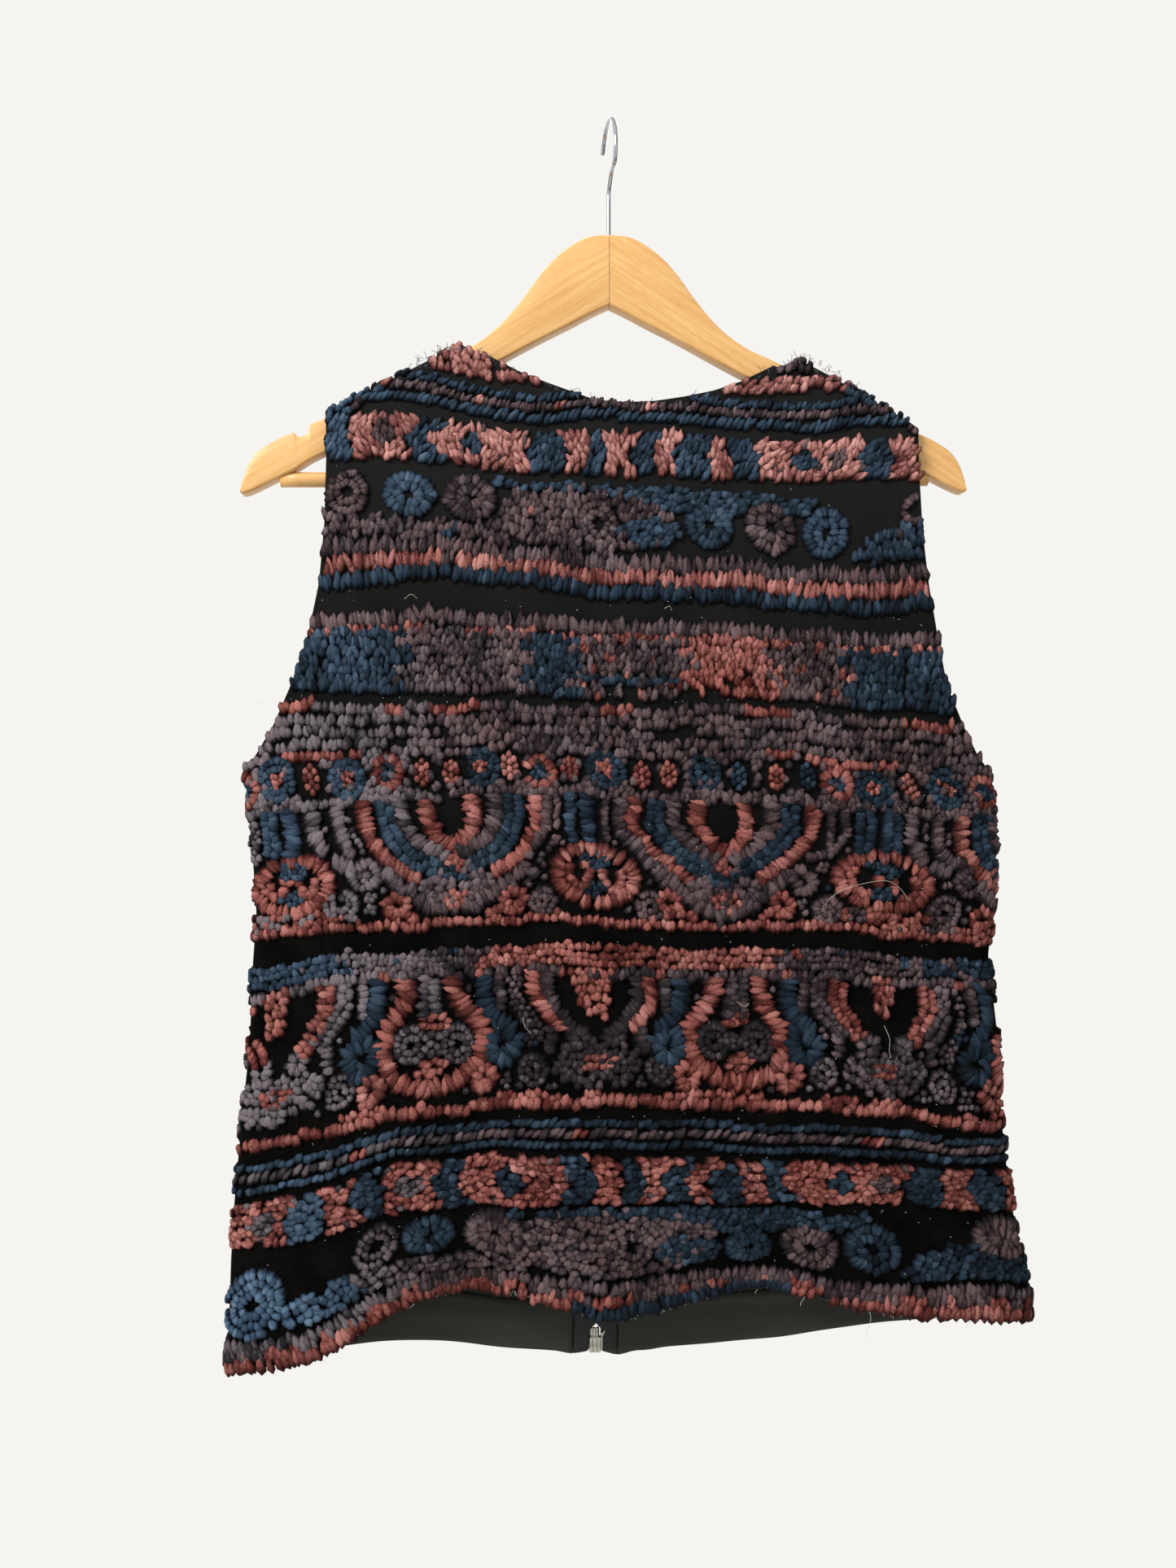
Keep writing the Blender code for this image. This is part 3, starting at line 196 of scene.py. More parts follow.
FRONT_ROWS = (
    (0, -758, -752, -763, -752, -738),
    (20, -742, -735, -744, -733, -718),
    (66, -684, -687, -692, -682, -670),
    (95, -656, -657, -662, -652, -643),
    (127, -621, -622, -626, -620, -616),
    (201, -540, -544, -546, -538, -531),
    (221, -516, -521, -524, -520, -515),
    (229, -502, -512, -516, -512, -507),
    (315, -422, -422, -424, -424, -423),
    (370, -356, -358, -362, -363, -364),
    (415, -313, -314, -316, -317, -317),
    (432, -294, -296, -298, -300, -303),
    (453, -267, -270, -273, -274, -275),
    (504, -208, -213, -217, -219, -221),
    (533, -176, -183, -188, -190, -190),
    (640, -69, -76, -81, -83, -83),
)
SURFACE_STEP = 0.35  # for finding which way the surface faces
FACING_DEEP = 16.0
HEM_FACING_DEEP = 30.0
SIDE_CLEAR = 16.0  # the facings stop short of the side seams
FACING_RISES = (-0.9, -1.9)  # from the cloth's inside, inwards
# Zip: the tapes lie inside the fronts' edges, and the teeth stand between them
TAPE_REACH = 9.0  # from the front's edge to the tape's inner edge
TAPE_RISES = (-0.9, -1.9)
BOX_SIZE = (7.5, 4.6, 9.7)
TEETH_START = 7.0  # above the box
SLIDER_SIZE = (8.6, 5.4, 9.6)
STOP_SIZE = (2.8, 3.2, 3.4)
STOP_DROP = 1.0  # below the neck edge
# Hanger
ARM_THICK = 12.0
ARM_EDGE = 2.0  # radius of its edges
ARM_SECTIONS = (
    # distance out, top of the wood, underside
    (0.15, -69.9, -112.9),
    (7.0, -70.2, -116.1),
    (14.0, -71.6, -119.6),
    (20.0, -74.5, -122.8),
    (27.0, -79.2, -126.4),
    (34.0, -85.2, -129.9),
    (41.0, -93.0, -133.5),
    (53.0, -109.4, -139.9),
    (65.0, -123.6, -146.5),
    (81.0, -136.6, -155.0),
    (100.0, -145.8, -165.0),
    (135.0, -163.4, -184.0),
    (165.0, -179.2, -199.9),
    (180.0, -185.4, -207.0),
    (190.0, -190.3, -213.2),
    (197.0, -193.2, -216.8),
    (204.0, -196.9, -220.3),
    (209.0, -200.1, -222.8),
    (213.5, -204.1, -225.0),
    (216.5, -208.4, -226.3),
    (218.7, -213.2, -227.0),
    (220.4, -218.4, -227.3),
    (221.4, -222.4, -227.0),
    (221.9, -225.3, -226.5),
)
# The notch near each end: distance out, height of its outline
ARM_NOTCH = (
    (180.9, -185.8), (181.3, -188.8), (182.4, -191.2), (184.6, -192.6),
    (187.0, -193.2), (188.6, -192.4), (189.7, -191.0), (190.2, -190.4),
)
BAR_RADIUS, BAR_REACH, BAR_Z = 4.5, 199.0, -218.0
WIRE = 1.4  # hook wire's radius
HOOK_TURN = math.radians(82)  # the hook's plane, from the hanger's


SIDES = ((-1, "left"), (1, "right"))


def column(table, index):
    return np.array([row[index] for row in table], float)


def lookup(x, table, index=1):
    """Straight-line reading of one column of a table whose first column may rise or fall."""
    keys = column(table, 0)
    values = column(table, index)
    order = np.argsort(keys)
    return np.interp(x, keys[order], values[order])


def smooth_lookup(x, keys, values):
    """Cubic through the values, with each slope the mean of its neighbours' (keys rise)."""
    keys = np.asarray(keys, float)
    values = np.asarray(values, float)
    slopes = np.gradient(values, keys)
    x = np.clip(x, keys[0], keys[-1])
    cell = np.clip(np.searchsorted(keys, x) - 1, 0, len(keys) - 2)
    width = keys[cell + 1] - keys[cell]
    t = (x - keys[cell]) / width
    return (
        values[cell] * (1 + 2 * t) * (1 - t) ** 2
        + values[cell + 1] * t**2 * (3 - 2 * t)
        + slopes[cell] * width * t * (1 - t) ** 2
        - slopes[cell + 1] * width * t**2 * (1 - t)
    )


def unit(vectors):
    """The same directions, each 1 long."""
    return vectors / np.maximum(np.linalg.norm(vectors, axis=-1, keepdims=True), 1e-6)


def ease(t):
    t = np.clip(t, 0, 1)
    return t * t * (3 - 2 * t)


def half_section():
    """Half of the garment's round section as tables: share of its length, x and y as shares."""
    angle = np.linspace(0, math.pi / 2, 400)
    x = np.sin(angle) ** (2 / SECTION_X_POWER)
    y = np.cos(angle) ** (2 / SECTION_Y_POWER)
    steps = np.hypot(np.diff(x) * HALF_U, np.diff(y) * SECTION_DEPTH)
    length = np.concatenate([[0], np.cumsum(steps)])
    return length / length[-1], x, y


SECTION_T, SECTION_X, SECTION_Y = half_section()


def arm_top(x):
    return lookup(np.abs(x), ARM_TOP) + HANGER_TILT * x


def shoulder_line(x):
    """Inner height of the shoulder seam: under the cloth that shows, and just clear of the arm."""
    shown = lookup(x, SHOULDERS) - WALL - PILE - SEAM_RISE
    return np.maximum(shown, arm_top(x) + ARM_SEAT)


def middle_and_half(z):
    """Middle and half width of the section at a height, inside the cloth below the underarm."""
    left = lookup(z, SILHOUETTE, 1)
    right = lookup(z, SILHOUETTE, 2)
    above = ease((z - UNDERARM) / SHOULDER_EASE)
    half = (right - left) / 2 + SHOULDER_SPREAD * above - (WALL + PILE) * (1 - above)
    return (left + right) / 2, half


def edge_u(z, side):
    """u of the armhole's edge above the underarm, and of the side seam below it."""
    middle, half = middle_and_half(z)
    edge = lookup(z, SILHOUETTE, 1 if side < 0 else 2)
    share = np.clip(np.abs(edge - middle) / half, 0, 1)
    inside = np.interp(share, SECTION_X, SECTION_T)
    return side * HALF_U * np.where(z > UNDERARM, inside, 1.0)


def folds(u, z, front):
    """Bell curves across the cloth that come in below a fold's top and go out above its bottom."""
    out = np.zeros(np.broadcast(u, z).shape)
    for at, width, depth, top, bottom in FOLDS:
        reach = ease((top - z) / FOLD_START) * ease((z - bottom + FOLD_TAIL) / FOLD_STOP)
        turned = -at if front else at
        out = out + depth * np.exp(-(((u - turned) / width * 2) ** 2)) * reach
    return out


# Creases of the fronts: the back's, turned round and a little higher, and five more near the hem
FRONT_TURN, FRONT_LIFT = -0.9, 14
FRONT_CREASES = tuple(
    (at * FRONT_TURN, height + FRONT_LIFT, length, width, -turn, depth)
    for at, height, length, width, turn, depth in CREASES
) + (
    (-150, -722, 60, 5, 5, 1.7),
    (-96, -736, 56, 4, -3, -1.5),
    (52, -736, 60, 5, 3, 1.5),
    (118, -722, 56, 4, 8, -1.6),
    (168, -706, 40, 5, -8, 1.4),
)


def creases(u, z, front):
    """Soft troughs and ridges, each a long hump turned from level: a bell curve along and across."""
    out = np.zeros(np.broadcast(u, z).shape)
    for at, height, length, width, turn, depth in FRONT_CREASES if front else CREASES:
        slope = math.radians(turn)
        along = ((u - at) * math.cos(slope) + (z - height) * math.sin(slope)) / length
        across = ((z - height) * math.cos(slope) - (u - at) * math.sin(slope)) / width
        out = out + depth * np.exp(-(along**2) - across**2)
    return out


def hem_roll(u, z):
    """How far the back hem's two arches roll in: a bell curve across each, squared towards the hem."""
    arches = sum(np.exp(-(((u - at) / width) ** 2)) for at, width in HEM_ARCHES)
    low = lookup_rows(u, 0.0, False)
    return -HEM_ROLL * arches * ease((low + HEM_ROLL_HEIGHT - z) / HEM_ROLL_HEIGHT) ** 2


def on_form(u, z, front):
    """A point of the garment's inner surface. Past a seam the surface goes on round the other side."""
    u = np.asarray(u, float)
    z = np.asarray(z, float)
    over = np.where(np.abs(u) > HALF_U, -1.0, 1.0)
    u = np.where(over < 0, np.sign(u) * (2 * HALF_U - np.abs(u)), u)
    middle, half = middle_and_half(z)
    share = np.abs(u) / HALF_U
    x = middle + np.sign(u) * half * np.interp(share, SECTION_T, SECTION_X)
    bulge = np.interp(share, SECTION_T, SECTION_Y)
    top = shoulder_line(x)
    over = over * np.where(z > top, -1.0, 1.0)
    z = top - np.abs(top - z)
    hold = GAP / 2 + (ARM_CLEARANCE - GAP / 2) * ease((z - UNDERARM) / CLEARANCE_EASE)
    depth = lookup(z, DEPTHS, 2 if front else 1)
    out = hold + (depth - hold + folds(u, z, front) + creases(u, z, front)) * bulge
    if not front:
        out = out + hem_roll(u, z) * bulge
    rounding = np.sqrt(1 - (1 - np.clip((top - z) / ROUND_TOP, 0, 1)) ** 2)
    out = GAP / 2 + (out - GAP / 2) * rounding
    y = over * out * (1 if front else -1)
    return np.stack([x, y, z], axis=-1)


def laid(u, z, rise, front):
    """Points that stand rise millimetres outside the inner surface, kept on their side of the seams."""
    across = on_form(u + SURFACE_STEP, z, front) - on_form(u - SURFACE_STEP, z, front)
    up = on_form(u, z + SURFACE_STEP, front) - on_form(u, z - SURFACE_STEP, front)
    normal = unit(np.cross(across, up)) * (-1 if front else 1)
    points = on_form(u, z, front) + normal * np.asarray(rise)[..., None]
    if front:
        points[..., 1] = np.maximum(points[..., 1], GAP / 2)
    else:
        points[..., 1] = np.minimum(points[..., 1], -GAP / 2)
    return points


# The fronts' hem sags beside the zip and is drawn up at it: place from the zip's foot, width, rise
HEM_LOBES = ((-14.0, 6.5, -1.3), (0.0, 5.0, 1.3), (14.0, 6.5, -2.2), (31.0, 7.0, -0.8))
LOBE_HEIGHT = 30.0  # rows over which they die away


def hem_lobes(u):
    aside = u - u_of_x(ZIP_FOOT_X, HEM_LEVEL)
    return sum(rise * np.exp(-(((aside - at) / width) ** 2)) for at, width, rise in HEM_LOBES)


def row_heights(u, front):
    """Heights of every row at u, lowest row first."""
    columns = FRONT_COLUMNS if front else BACK_COLUMNS
    rows = FRONT_ROWS if front else BACK_ROWS
    return np.stack([smooth_lookup(u, columns, row[1:]) for row in rows], axis=-1)


def lookup_rows(u, row, front):
    """Height z of a row of the cloth at u."""
    u = np.atleast_1d(np.asarray(u, float))
    row = np.broadcast_to(np.asarray(row, float), u.shape)
    keys = column(FRONT_ROWS if front else BACK_ROWS, 0)
    heights = row_heights(u, front)
    cell = np.clip(np.searchsorted(keys, row) - 1, 0, len(keys) - 2)
    t = (row - keys[cell]) / (keys[cell + 1] - keys[cell])
    low = np.take_along_axis(heights, cell[..., None], axis=-1)[..., 0]
    high = np.take_along_axis(heights, cell[..., None] + 1, axis=-1)[..., 0]
    lobes = hem_lobes(u) * ease((LOBE_HEIGHT - row) / LOBE_HEIGHT) if front else 0.0
    return low + (high - low) * t + lobes


def row_at(u, z, front):
    """The inverse of lookup_rows: the row that lies at height z."""
    keys = column(FRONT_ROWS if front else BACK_ROWS, 0)
    heights = row_heights(u, front)
    return np.array([np.interp(at, line, keys) for at, line in zip(z, heights)])


def u_of_x(x, z):
    """u at which the surface has this x."""
    middle, half = middle_and_half(z)
    share = np.clip(np.abs(x - middle) / half, 0, 1)
    return np.sign(x - middle) * HALF_U * np.interp(share, SECTION_X, SECTION_T)


def zip_x(z):
    """x of the zip's line, which leans a little from the neckline to the hem."""
    share = (VEE_BOTTOM - z) / (VEE_BOTTOM - HEM_LEVEL)
    return VEE_X + (ZIP_FOOT_X - VEE_X) * share


def neck_height(x):
    """The back neckline, kept below the shoulder seams at its two ends."""
    fall = np.minimum(x - NECK_LEFT, NECK_RIGHT - x)
    ends = shoulder_line(np.where(x < 0, NECK_LEFT, NECK_RIGHT)) - NECK_FALL * fall
    ends = ends + np.maximum(fall - NECK_END, 0) * NECK_FREE
    return np.minimum(lookup(x, NECKLINE), ends)


def top_height(u, z, front):
    """Where the cloth ends at the top, over a point: the shoulder seam, or the back neckline."""
    x = on_form(u, z, front)[..., 0]
    if front:
        return shoulder_line(x)
    in_neck = (x > NECK_LEFT) & (x < NECK_RIGHT)
    return np.where(in_neck, neck_height(x), shoulder_line(x))


def vee_x(z, side):
    """x of a front's inner edge: along the zip, and above it out to the neck point, a little bowed."""
    neck_x = NECK_LEFT if side < 0 else NECK_RIGHT
    t = np.clip((z - VEE_BOTTOM) / (shoulder_line(neck_x) - VEE_BOTTOM), 0, 1)
    start = VEE_X + side * ZIP_HALF
    bowed = start + (neck_x - start) * t + side * VEE_BOW * np.sin(math.pi * t)
    return np.where(z < VEE_BOTTOM, zip_x(z) + side * ZIP_HALF, bowed)


def panel_sides(z, side):
    """u at the two long edges of a panel: side 0 is the back, -1 and 1 the fronts at -X and +X."""
    if side == 0:
        return edge_u(z, -1), edge_u(z, 1)
    inner = u_of_x(vee_x(z, side), z)
    outer = edge_u(z, side)
    return (outer, inner) if side < 0 else (inner, outer)


def on_panel(u, v, side, margin):
    """True where a place on the cloth lies inside the panel by a margin."""
    front = side != 0
    z = lookup_rows(u, v, front)
    low, high = panel_sides(z, side)
    fits = (u > low + margin) & (u < high - margin)
    return fits & (v > margin * 0.5) & (z < top_height(u, z, front) - margin)


# Meshes

def linear(code):
    """An sRGB hex colour as linear RGBA."""
    parts = [int(code[i : i + 2], 16) / 255 for i in (1, 3, 5)]
    return tuple(c / 12.92 if c < 0.04045 else ((c + 0.055) / 1.055) ** 2.4 for c in parts) + (1,)


def place_piece(thing, node=None):
    """Puts a finished piece on the vest's body, and hides the solid that it stands for, if it stands for
    one.
    """
    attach(thing, BODY)
    if node:
        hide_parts(node)


def make_mesh(name, points, faces, materials, slots=None, smooth=True):
    """A mesh from points in millimetres and one or more arrays of faces."""
    mesh = bpy.data.meshes.new(name)
    groups = faces if isinstance(faces, (list, tuple)) else [faces]
    corners = [face for group in groups for face in group.tolist()]
    mesh.from_pydata((np.asarray(points) * MM).tolist(), [], corners)
    for finish in materials:
        mesh.materials.append(finish)
    if slots is not None:
        mesh.polygons.foreach_set("material_index", np.asarray(slots, np.int32))
    mesh.polygons.foreach_set("use_smooth", np.full(len(mesh.polygons), smooth))
    thing = bpy.data.objects.new(name, mesh)
    bpy.context.scene.collection.objects.link(thing)
    return thing


def grid_quads(rows, columns, wrap=False):
    """Quads between neighbours of a grid of points numbered row by row. wrap closes each row."""
    index = np.arange(rows * columns).reshape(rows, columns)
    if wrap:
        index = np.concatenate([index, index[:, :1]], axis=1)
    a, b = index[:-1, :-1], index[:-1, 1:]
    c, d = index[1:, 1:], index[1:, :-1]
    return np.stack([a, b, c, d], axis=-1).reshape(-1, 4)


def rim_quads(rows, columns):
    """Quads that close the gap between two like grids round their four edges."""
    index = np.arange(rows * columns).reshape(rows, columns)
    loop = np.concatenate([index[0, :-1], index[:-1, -1], index[-1, :0:-1], index[:0:-1, 0]])
    ahead = np.roll(loop, -1)
    shift = rows * columns
    return np.stack([ahead, loop, loop + shift, ahead + shift], axis=-1)


def shell(name, outer, inner, materials, flip=False):
    """A closed wall between two grids of points. Slot 0 is the outside, 1 the inside and the rim."""
    rows, columns = outer.shape[:2]
    quads = grid_quads(rows, columns)
    rim = rim_quads(rows, columns)
    faces = np.concatenate([quads, quads[:, ::-1] + rows * columns, rim])
    if flip:
        faces = faces[:, ::-1]
    slots = np.concatenate([np.zeros(len(quads)), np.ones(len(quads) + len(rim))])
    points = np.concatenate([outer.reshape(-1, 3), inner.reshape(-1, 3)])
    return make_mesh(name, points, faces, materials, slots)


def smooth_path(controls, spacing):
    """Points at an even spacing along a smooth curve through control points."""
    controls = np.asarray(controls, float)
    along = np.concatenate([[0], np.cumsum(np.linalg.norm(np.diff(controls, axis=0), axis=1))])
    fine = np.linspace(0, along[-1], max(int(along[-1] / spacing * 6), 24))
    dense = np.stack([smooth_lookup(fine, along, axis) for axis in controls.T], axis=-1)
    length = np.concatenate([[0], np.cumsum(np.linalg.norm(np.diff(dense, axis=0), axis=1))])
    even = np.linspace(0, length[-1], max(int(round(length[-1] / spacing)), 2) + 1)
    return np.stack([np.interp(even, length, axis) for axis in dense.T], axis=-1)


def tube_grid(path, radii, sides):
    """Circles carried along a path: each stands square to it, turned as little as possible."""
    path = np.asarray(path, float)
    ahead = unit(np.gradient(path, axis=0))
    guide = np.array([1.0, 0.0, 0.0]) if abs(ahead[0, 0]) < 0.8 else np.array([0.0, 1.0, 0.0])
    first = unit(np.cross(ahead, guide))
    second = np.cross(ahead, first)
    angle = np.linspace(0, 2 * math.pi, sides, endpoint=False)[None, :, None]
    radii = np.broadcast_to(radii, (len(path),))[:, None, None]
    ring = first[:, None] * np.cos(angle) + second[:, None] * np.sin(angle)
    return path[:, None] + radii * ring


def closed_tube(rings):
    """Points and faces of a tube of circles whose two ends are closed by fans to a middle point."""
    rows, sides = rings.shape[:2]
    ends = np.stack([rings[0].mean(axis=0), rings[-1].mean(axis=0)])
    points = np.concatenate([rings.reshape(-1, 3), ends])
    ring = np.arange(sides)
    ahead = np.roll(ring, -1)
    first = np.stack([ahead, ring, np.full(sides, rows * sides)], axis=-1)
    last_row = (rows - 1) * sides
    last = np.stack([ring + last_row, ahead + last_row, np.full(sides, rows * sides + 1)], axis=-1)
    return points, [grid_quads(rows, sides, wrap=True), first, last]


def join_copies(points, faces, count):
    """Faces for count copies of one small shape whose points follow one another."""
    shift = np.arange(count)[:, None, None] * points
    return (np.asarray(faces)[None] + shift).reshape(-1, np.asarray(faces).shape[1])


# The pile: tufts laid out on the flat cloth

ROSE, MAUVE, BLUE, NONE = 0, 1, 2, -1
BAND_END = 242.0  # every band runs this far out to either side, past the seams
TUFT_WIDE = 3.3
TUFT_LONG = 5.6
STITCH_WIDE = 3.8  # tufts laid across a stroke are plumper
TUFT_CLEAR = 2.15  # nearest that a later tuft may lie to an earlier one
TUFT_HIGH = 2.9
PLUMP_WIDE, PLUMP_LONG = 1.36, 1.2  # how far a tuft presses into its neighbours
SEARCH = 30.0  # kept places further off than this can't touch a tuft
ONE_LANE = 9.4  # a wider stroke has two lanes of tufts
GAP_CLEAR = 2.3  # from an ornament's tufts to the middle of a pebble that fills a gap


class Pile:
    """Tufts laid out flat: place, direction, length, width and yarn. An earlier tuft keeps its place."""

    def __init__(self, seed):
        self.random = np.random.default_rng(seed)
        self.tufts = np.zeros((0, 6))
        self.kept = np.zeros((0, 3))
        self.fit(0.0, 1.0, 0.0)

    def fit(self, start, stretch, base):
        """From here on, rows are measured from start, stretched, and laid from base."""
        self.start, self.stretch, self.base = start, stretch, base

    def hold(self, u, v, radius):
        """Keeps a round patch of ground bare."""
        v = self.base + (v - self.start) * self.stretch
        self.kept = np.concatenate([self.kept, [[u, v, radius]]])

    def hold_round(self, u, v, wide, tall, radius=1.6, begin=0.0, end=360.0):
        """Keeps a bare line round an oval, or along part of it."""
        for angle in np.radians(np.arange(begin, end, 14)):
            self.hold(u + wide * math.cos(angle), v + tall * math.sin(angle), radius)

    def add(self, u, v, turn, long, wide, yarn):
        v = self.base + (np.asarray(v) - self.start) * self.stretch
        new = np.stack(np.broadcast_arrays(u, v, turn, long, wide, yarn), axis=-1).reshape(-1, 6)
        new = new[new[:, 5] >= 0]
        if len(self.kept) and len(new):
            low, high = new[:, :2].min(axis=0) - SEARCH, new[:, :2].max(axis=0) + SEARCH
            near = self.kept[((self.kept[:, :2] > low) & (self.kept[:, :2] < high)).all(axis=1)]
            away = np.hypot(new[:, None, 0] - near[None, :, 0], new[:, None, 1] - near[None, :, 1])
            new = new[(away > near[None, :, 2]).all(axis=1)]
        held = np.concatenate([new[:, :2], np.full((len(new), 1), TUFT_CLEAR)], axis=1)
        self.kept = np.concatenate([self.kept, held])
        self.tufts = np.concatenate([self.tufts, new])

    def waver(self):
        """Shifts every tuft a little along slow waves, as cloth that was never quite straight."""
        u, v = self.tufts[:, 0].copy(), self.tufts[:, 1].copy()
        self.tufts[:, 0] += 1.3 * np.sin(v / 17 + u / 60) + 0.8 * np.sin(v / 7.3 - u / 41 + 1.7)
        self.tufts[:, 1] += 1.2 * np.sin(u / 24 + v / 90 + 0.6) + 0.7 * np.sin(u / 9.7 - v / 37)

    def scatter(self, count, spread):
        return self.random.normal(0, spread, count)

    def row(self, low, high, yarn, turn=90.0, wide=TUFT_WIDE):
        """Upright tufts side by side across the cloth, between two rows, in a line that wavers."""
        u = np.arange(-BAND_END, BAND_END, wide * 0.96)
        u = u + self.random.uniform(0, wide)
        count = len(u)
        u = u + self.scatter(count, 0.7)
        waver = self.random.uniform(0, 6.28, 2)
        v = (low + high) / 2 + 0.5 * np.sin(u / 13 + waver[0]) + 0.35 * np.sin(u / 5.1 + waver[1])
        v = v + self.scatter(count, 0.7)
        long = (high - low) * self.random.uniform(1.0, 1.4, count)
        turned = turn + self.scatter(count, 10)
        self.add(u, v, turned, long, wide * self.random.uniform(0.85, 1.3, count), chosen(yarn, u, v))

    def stroke(self, controls, width, yarn, slant=14.0):
        """Tufts laid across a smooth path, like satin stitches, in one lane or two."""
        path = smooth_path(controls, STITCH_WIDE * 0.86)
        ahead = unit(np.gradient(path, axis=0))
        across = np.stack([-ahead[:, 1], ahead[:, 0]], axis=-1)
        lanes = 1 if width < ONE_LANE else 2
        count = len(path)
        lean = math.copysign(slant, self.random.uniform(-1, 1))
        for lane in range(lanes):
            offset = ((lane + 0.5) / lanes - 0.5) * width
            at = path + across * offset + ahead * (lane * STITCH_WIDE * 0.42)
            turn = np.degrees(np.arctan2(across[:, 1], across[:, 0])) + lean
            flip = np.where(np.sin(np.radians(turn)) < 0, 180, 0)
            long = width / lanes * self.random.uniform(1.04, 1.3, count)
            self.add(
                at[:, 0] + self.scatter(count, 0.4), at[:, 1] + self.scatter(count, 0.4),
                turn + flip + self.scatter(count, 11), long,
                STITCH_WIDE * self.random.uniform(0.85, 1.22, count), yarn,
            )

    def both(self, middle, foot, width, yarn, places):
        """A stroke and its mirror image: places are distances from a middle u and heights above a foot."""
        for side in (-1, 1):
            self.stroke([(middle + side * aside, foot + high) for aside, high in places], width, yarn)

    def ring(self, u, v, radius, width, yarn, squeeze=1.0, begin=0.0, end=360.0):
        """Tufts that point out from a middle, round an oval or part of one."""
        count = max(int(math.radians(end - begin) * radius * (1 + squeeze) / 2 / (TUFT_WIDE * 0.95)), 3)
        angle = np.radians(np.linspace(begin, end, count, endpoint=end - begin < 360))
        if end - begin >= 360:
            angle = angle[:-1] * count / max(count - 1, 1)
        angle = angle + self.scatter(len(angle), 0.04)
        out = radius + self.scatter(len(angle), 0.3)
        turn = np.degrees(np.arctan2(np.sin(angle), np.cos(angle) * squeeze)) + self.scatter(len(angle), 9)
        long = width * self.random.uniform(1.0, 1.2, len(angle))
        self.add(
            u + out * np.cos(angle), v + out * np.sin(angle) * squeeze, turn + 180.0, long,
            TUFT_WIDE * self.random.uniform(0.95, 1.2, len(angle)), yarn,
        )

    def rosette(self, u, v, radius, yarn, squeeze=1.0, eye=4.4):
        """A round flower: a bare eye with rings of tufts about it."""
        self.hold(u, v, eye)
        rings = max(int(round((radius * math.sqrt(squeeze) - eye) / 4.9)), 1)
        width = (radius - eye) / rings
        for step in range(rings):
            self.ring(u, v, eye + (step + 0.5) * width, width, yarn, squeeze)

    def scroll(self, u, v, radius, hand, yarn, begin=200.0, width=5.2, squeeze=1.0):
        """A curl: from its outer end it turns in once and a quarter round a bare eye."""
        self.hold(u, v, max(radius - width * 1.1, 1.4))
        self.hold(u, v + 1.5 * (squeeze - 1) * radius, max(radius - width * 1.1, 1.4))
        angle = np.radians(begin + hand * np.linspace(0, 325, 14))
        out = np.linspace(radius - width * 0.3, radius - width * 0.75, 14)
        path = np.stack([u + out * np.cos(angle), v + squeeze * out * np.sin(angle)], axis=-1)
        self.stroke(path, width, yarn, slant=8.0)

    def fill(
        self, left, right, low, high, inside, yarn, turn=90.0, spread=24.0, lie="up",
        size=(TUFT_WIDE, TUFT_LONG),
    ):
        """Pebbles in uneven staggered rows wherever inside(u, v) holds. lie is how they are packed."""
        wide, long = size
        even = math.sqrt(wide * long * 0.74)
        spacings = {
            "up": (wide * 0.98, long * 0.76),
            "across": (long * 0.76, wide * 0.98),
            "any": (even, even * 0.92),
        }
        across, up = spacings[lie]
        u, v = np.meshgrid(np.arange(left, right, across), np.arange(low + up / 2, high + up / 2, up))
        u = u + (np.arange(len(v)) % 2)[:, None] * across / 2
        u = u.ravel() + self.scatter(u.size, 0.7)
        v = v.ravel() + self.scatter(v.size, 0.9)
        keep = inside(u, v)
        u, v = u[keep], v[keep]
        count = len(u)
        self.add(
            u, v, chosen(turn, u, v) + self.scatter(count, spread),
            long * self.random.uniform(0.85, 1.18, count),
            wide * self.random.uniform(0.92, 1.25, count), chosen(yarn, u, v),
        )

    def fill_gaps(self, low, high, bare, yarn, size=(2.9, 4.2)):
        """Pebbles in the gaps that a band's figures leave wide, apart from its bare fields."""
        wide, long = size
        u, v = np.meshgrid(np.arange(-BAND_END, BAND_END, wide * 1.2), np.arange(low, high, long * 0.82))
        u = u + (np.arange(len(v)) % 2)[:, None] * wide * 0.6
        u = u.ravel() + self.scatter(u.size, 0.4)
        v = v.ravel() + self.scatter(v.size, 0.4)
        near = self.tufts[(self.tufts[:, 1] > low - 12) & (self.tufts[:, 1] < high + 12)]
        turn = np.radians(near[:, 2])
        right, up = u[:, None] - near[None, :, 0], v[:, None] - near[None, :, 1]
        along = (right * np.cos(turn) + up * np.sin(turn)) / (near[:, 3] * PLUMP_LONG / 2 + GAP_CLEAR)
        aside = (up * np.cos(turn) - right * np.sin(turn)) / (near[:, 4] * PLUMP_WIDE / 2 + GAP_CLEAR)
        free = (np.hypot(along, aside) > 1).all(axis=1) & ~bare(u, v)
        u, v = u[free], v[free]
        count = len(u)
        self.add(
            u, v, 90 + self.scatter(count, 25), long * self.random.uniform(0.85, 1.15, count),
            wide * self.random.uniform(0.9, 1.2, count), yarn(u, v),
        )


def chosen(rule, u, v):
    """A value for each place: rule is one value for all of them, or a function of u and v."""
    return rule(u, v) if callable(rule) else rule


def mottle(u, v, seed, size=18.0):
    """Soft patches between about -1 and 1: three waves laid over each other."""
    a, b = u / size, v / size
    return (
        np.sin(a * 1.9 + seed) * np.cos(b * 2.3 + seed * 1.7)
        + 0.6 * np.sin(a * 4.1 + b * 3.3 + seed * 2.9)
        + 0.4 * np.sin(a * 7.3 - b * 6.1 + seed * 0.6)
    ) / 1.4


